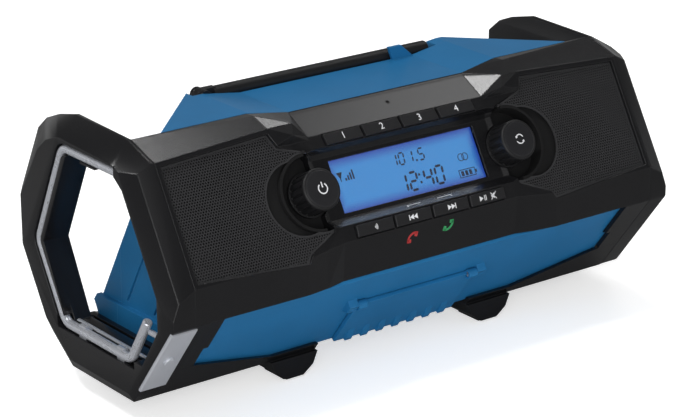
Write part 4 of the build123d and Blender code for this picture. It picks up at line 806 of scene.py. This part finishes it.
class RADIO_OT_bezel_marks(bpy.types.Operator):
    """Print the marks on the console and give its microphone hole a lip over a near-black disc of painted shade"""
    bl_idname = "radio.bezel_marks"
    bl_label = "Console marks"

    def execute(self, context):
        sizes = context.scene.radio_sizes
        thick = sizes.print_thick
        middle, up = outer_face("front_bezel", BELOW_KEYS, 2)
        for name, x, tilt, ink in (("call_end", -14.6, 35, "Red print"),
                                   ("call_start", 11.4, 215, "Green print")):
            handset = Drawing()
            handset.handset((x, 4.6), tilt, sizes.handset_size / MM)
            handset.add("mark_" + name, middle - RIGHT * middle.x, up, MM, thick, ink, "radio")
        middle, up = outer_face("front_bezel", DISPLAY_STEP, 2)
        bracket = Drawing()
        for way in (-1, 1):
            near, far = 3 + way * 6, 3 + way * 15
            bracket.bar((near, 0), (far, 0), 0.35)
            bracket.bar((far, 0.17), (far, -1.6), 0.35)
        bracket.add("mark_bracket", middle - RIGHT * middle.x, up, MM, thick, "White print", "radio")
        middle, up = outer_face("front_bezel", CONSOLE_TOP, 2)
        middle = middle + RIGHT * (MICROPHONE_X - middle.x)
        middle = middle + up * ((MICROPHONE_Z - middle.z) / up.z)
        profile = [(0, 0.02), (0.7, 0.02), (0.8, 0.16), (1.1, 0.16), (1.35, 0), (1.35, -0.2), (0, -0.2)]
        lip = turned([(radius * MM, height * MM) for radius, height in profile], 32)
        add_piece("microphone_lip", placed(lip, middle, up), "Black plastic", "radio", "black_plastic")
        # the hole's depth is a flat near-black disc: painted shade
        hole = turned([(0, 0.05 * MM), (0.68 * MM, 0.05 * MM), (0.68 * MM, 0), (0, 0)], 24)
        add_piece("microphone_shade_disc", placed(hole, middle, up), "Dark opening", "radio", "cone")
        return {"FINISHED"}


class RADIO_OT_knob_caps(bpy.types.Operator):
    """Add a smooth cap with a plain mark to each knob"""
    bl_idname = "radio.knob_caps"
    bl_label = "Knob caps"

    def execute(self, context):
        sizes = context.scene.radio_sizes
        thick = sizes.print_thick
        power = Drawing()
        power.arc((0, 0), 1.25, 125, 415, 0.32, 28)
        power.bar((0, 0.25), (0, 1.65), 0.32)
        cycle = Drawing()
        for turn in (0, 180):
            cycle.arc((0, 0), 1.15, 20 + turn, 140 + turn, 0.3, 20)
            tip, foot = radians(165 + turn), radians(138 + turn)
            cycle.triangle((1.15 * cos(tip), 1.15 * sin(tip)), (1.15 * cos(foot), 1.15 * sin(foot)), 0.42)
        for name, mark in (("volume", power), ("tuning", cycle)):
            node = name + "_knob"
            high = reach(node, OUT)[1]
            left, right = reach(node, RIGHT)
            bottom, top = reach(node, UP)
            middle = on_face((left + right) / 2, (bottom + top) / 2, high)
            size, rise, sunk = sizes.cap_radius, sizes.cap_rise, -0.3 * MM
            dome = [(size * share, rise * (1 - share ** 4 * 0.75))
                    for share in (0.2, 0.4, 0.6, 0.75, 0.86, 0.94)]
            profile = [(0, rise)] + dome + [(size, 0), (size, sunk), (0, sunk)]
            cap = placed(turned(profile, 64), middle, UP)
            add_piece(name + "_cap", cap, "Cap plastic", name + "_dial", "knob_rubber")
            unit = sizes.cap_mark / CAP_MARK_HEIGHT
            mark.add("mark_" + name, middle + OUT * rise, UP, unit, thick, "White print", name + "_dial")
        return {"FINISHED"}


class RADIO_OT_display(bpy.types.Operator):
    """Draw the segments and the small signs of the liquid crystal"""
    bl_idname = "radio.display"
    bl_label = "Display"

    def execute(self, context):
        front = reach("lcd_panel", OUT)[1]
        low, high = reach("display_window", UP)
        middle = on_face(0, (low + high) / 2, front)
        # drawn in millimetres from the display's middle, with a frequency and a time
        ink = Drawing()
        for figure, x in (("1", -8.6), ("0", -3.4), ("1", 2.4), ("5", 10.2)):
            ink.digit(figure, (x, 3.6), 6.4)
        ink.bar((8.3, 3.4), (8.3, 4.5), 1.1)
        for figure, x in (("1", -8.6), ("2", -1.2), ("4", 9.2), ("0", 17.0)):
            ink.digit(figure, (x, -11.6), 9.8)
        for y in (-9.0, -4.6):
            ink.bar((6.6, y), (6.6, y + 1.3), 1.2)
        # signal mast with rising bars
        ink.triangle((-44.0, 3.6), (-44.0, 7.6), 1.9)
        ink.bar((-44.0, 2.4), (-44.0, 7.0), 0.5)
        for step in range(4):
            ink.bar((-40.6 + step * 1.7, 2.4), (-40.6 + step * 1.7, 3.9 + step * 1.25), 1.0)
        # battery
        for y in (-7.4, -11.6):
            ink.bar((33.2, y), (44.2, y), 0.45)
        for x in (33.2, 44.2):
            ink.bar((x, -11.8), (x, -7.2), 0.45)
        ink.bar((45.0, -10.4), (45.0, -8.6), 0.9)
        for x in (35.4, 38.2, 41.0):
            ink.bar((x, -10.9), (x, -8.1), 1.9)
        # two linked rings
        for x in (37.6, 40.4):
            ink.arc((x, -0.4), 2.0, 0, 360, 0.45, 32)
        ink.add("display_segments", middle, UP, MM, 0.1 * MM, "Display ink", "radio")
        return {"FINISHED"}


class RADIO_OT_stage(bpy.types.Operator):
    """Add the floor, the lamps, the white surroundings and the camera"""
    bl_idname = "radio.stage"
    bl_label = "Stage"

    def execute(self, context):
        scene = context.scene
        stage = scene.radio_stage
        floor = bpy.data.meshes.new("floor")
        half = stage.floor_size / 2
        floor.from_pydata([(-half, -half, 0), (half, -half, 0), (half, half, 0), (-half, half, 0)], [],
                          [(0, 1, 2, 3)])
        floor.materials.append(make_floor_material("Pale floor"))
        scratch_object("floor", floor)
        for name, power, size, place in (("key", stage.key_power, 0.2, (-0.77, 0.14, 1.5)),
                                         ("top", stage.top_power, 0.16, (0.46, 0.58, 1.41)),
                                         ("side", stage.side_power, 0.4, (0.93, 0.12, 1.25)),
                                         ("front", stage.fill_power, 1.2, (-1.1, -1.5, 0.6))):
            lamp = bpy.data.lights.new(name, "AREA")
            lamp.energy = power
            lamp.size = size
            holder = scratch_object(name, lamp)
            holder.location = place
            holder.rotation_euler = (AIM - holder.location).to_track_quat("-Z", "Y").to_euler()
        world = bpy.data.worlds.new("Studio")
        scene.world = world
        world.use_nodes = True
        tree = world.node_tree
        rays = new_node(tree, "ShaderNodeLightPath").outputs
        seen = math_node(tree, "MAXIMUM", rays["Is Camera Ray"], rays["Is Transmission Ray"])
        way = new_node(tree, "ShaderNodeTexCoord").outputs["Generated"]
        height = new_node(tree, "ShaderNodeSeparateXYZ", {0: way}).outputs["Z"]
        low = new_node(tree, "ShaderNodeMapRange", {"Value": height, "From Min": 0.08, "From Max": 0.3,
                                                    "To Min": 1.0, "To Max": 0.0}).outputs["Result"]
        # a reflection sees a dimmer room with a pale backdrop low down
        glossy = rays["Is Glossy Ray"]
        room = math_node(tree, "SUBTRACT", 1.0, times(tree, glossy, ROOM_DIMMED))
        soft = times(tree, stage.world_strength, room)
        backdrop = times(tree, times(tree, glossy, low), BACKDROP)
        strength = math_node(tree, "MAXIMUM", math_node(tree, "MAXIMUM", seen, backdrop), soft)
        set_inputs(tree, tree.nodes["Background"], {"Color": (1, 1, 1, 1), "Strength": strength})
        camera = bpy.data.cameras.new("camera")
        camera.lens = stage.lens
        camera.sensor_width = 36.0
        holder = scratch_object("camera", camera)
        holder.location = CAMERA_PLACE
        holder.rotation_euler = Vector(CAMERA_WAY).to_track_quat("-Z", "Y").to_euler()
        scene.camera = holder
        scene.view_settings.view_transform = "Standard"
        return {"FINISHED"}


class RADIO_PT_steps(bpy.types.Panel):
    """The radio's making, step by step"""
    bl_idname = "RADIO_PT_steps"
    bl_label = "Jobsite radio"
    bl_space_type = "VIEW_3D"
    bl_region_type = "UI"
    bl_category = "Radio"

    def draw(self, context):
        layout = self.layout
        for step in STEPS:
            layout.operator("radio." + step)
        for title, group in (("Sizes", context.scene.radio_sizes),
                             ("Colours", context.scene.radio_colours),
                             ("Stage", context.scene.radio_stage)):
            box = layout.box()
            box.label(text=title)
            for field in group.__annotations__:
                box.prop(group, field)


STEPS = ["finishes", "roundings", "grilles", "key_marks", "bezel_marks", "knob_caps", "display", "stage"]
CLASSES = [RadioSizes, RadioColours, RadioStage, RADIO_OT_finishes, RADIO_OT_roundings, RADIO_OT_grilles,
           RADIO_OT_key_marks, RADIO_OT_bezel_marks, RADIO_OT_knob_caps, RADIO_OT_display,
           RADIO_OT_stage, RADIO_PT_steps]


def register():
    for each in CLASSES:
        bpy.utils.register_class(each)
    bpy.types.Scene.radio_sizes = bpy.props.PointerProperty(type=RadioSizes)
    bpy.types.Scene.radio_colours = bpy.props.PointerProperty(type=RadioColours)
    bpy.types.Scene.radio_stage = bpy.props.PointerProperty(type=RadioStage)


def unregister():
    del bpy.types.Scene.radio_stage
    del bpy.types.Scene.radio_colours
    del bpy.types.Scene.radio_sizes
    for each in reversed(CLASSES):
        bpy.utils.unregister_class(each)


def main():
    """Make the radio step by step."""
    register()
    for step in STEPS:
        getattr(bpy.ops.radio, step)()


if __name__ == "__main__":
    main()
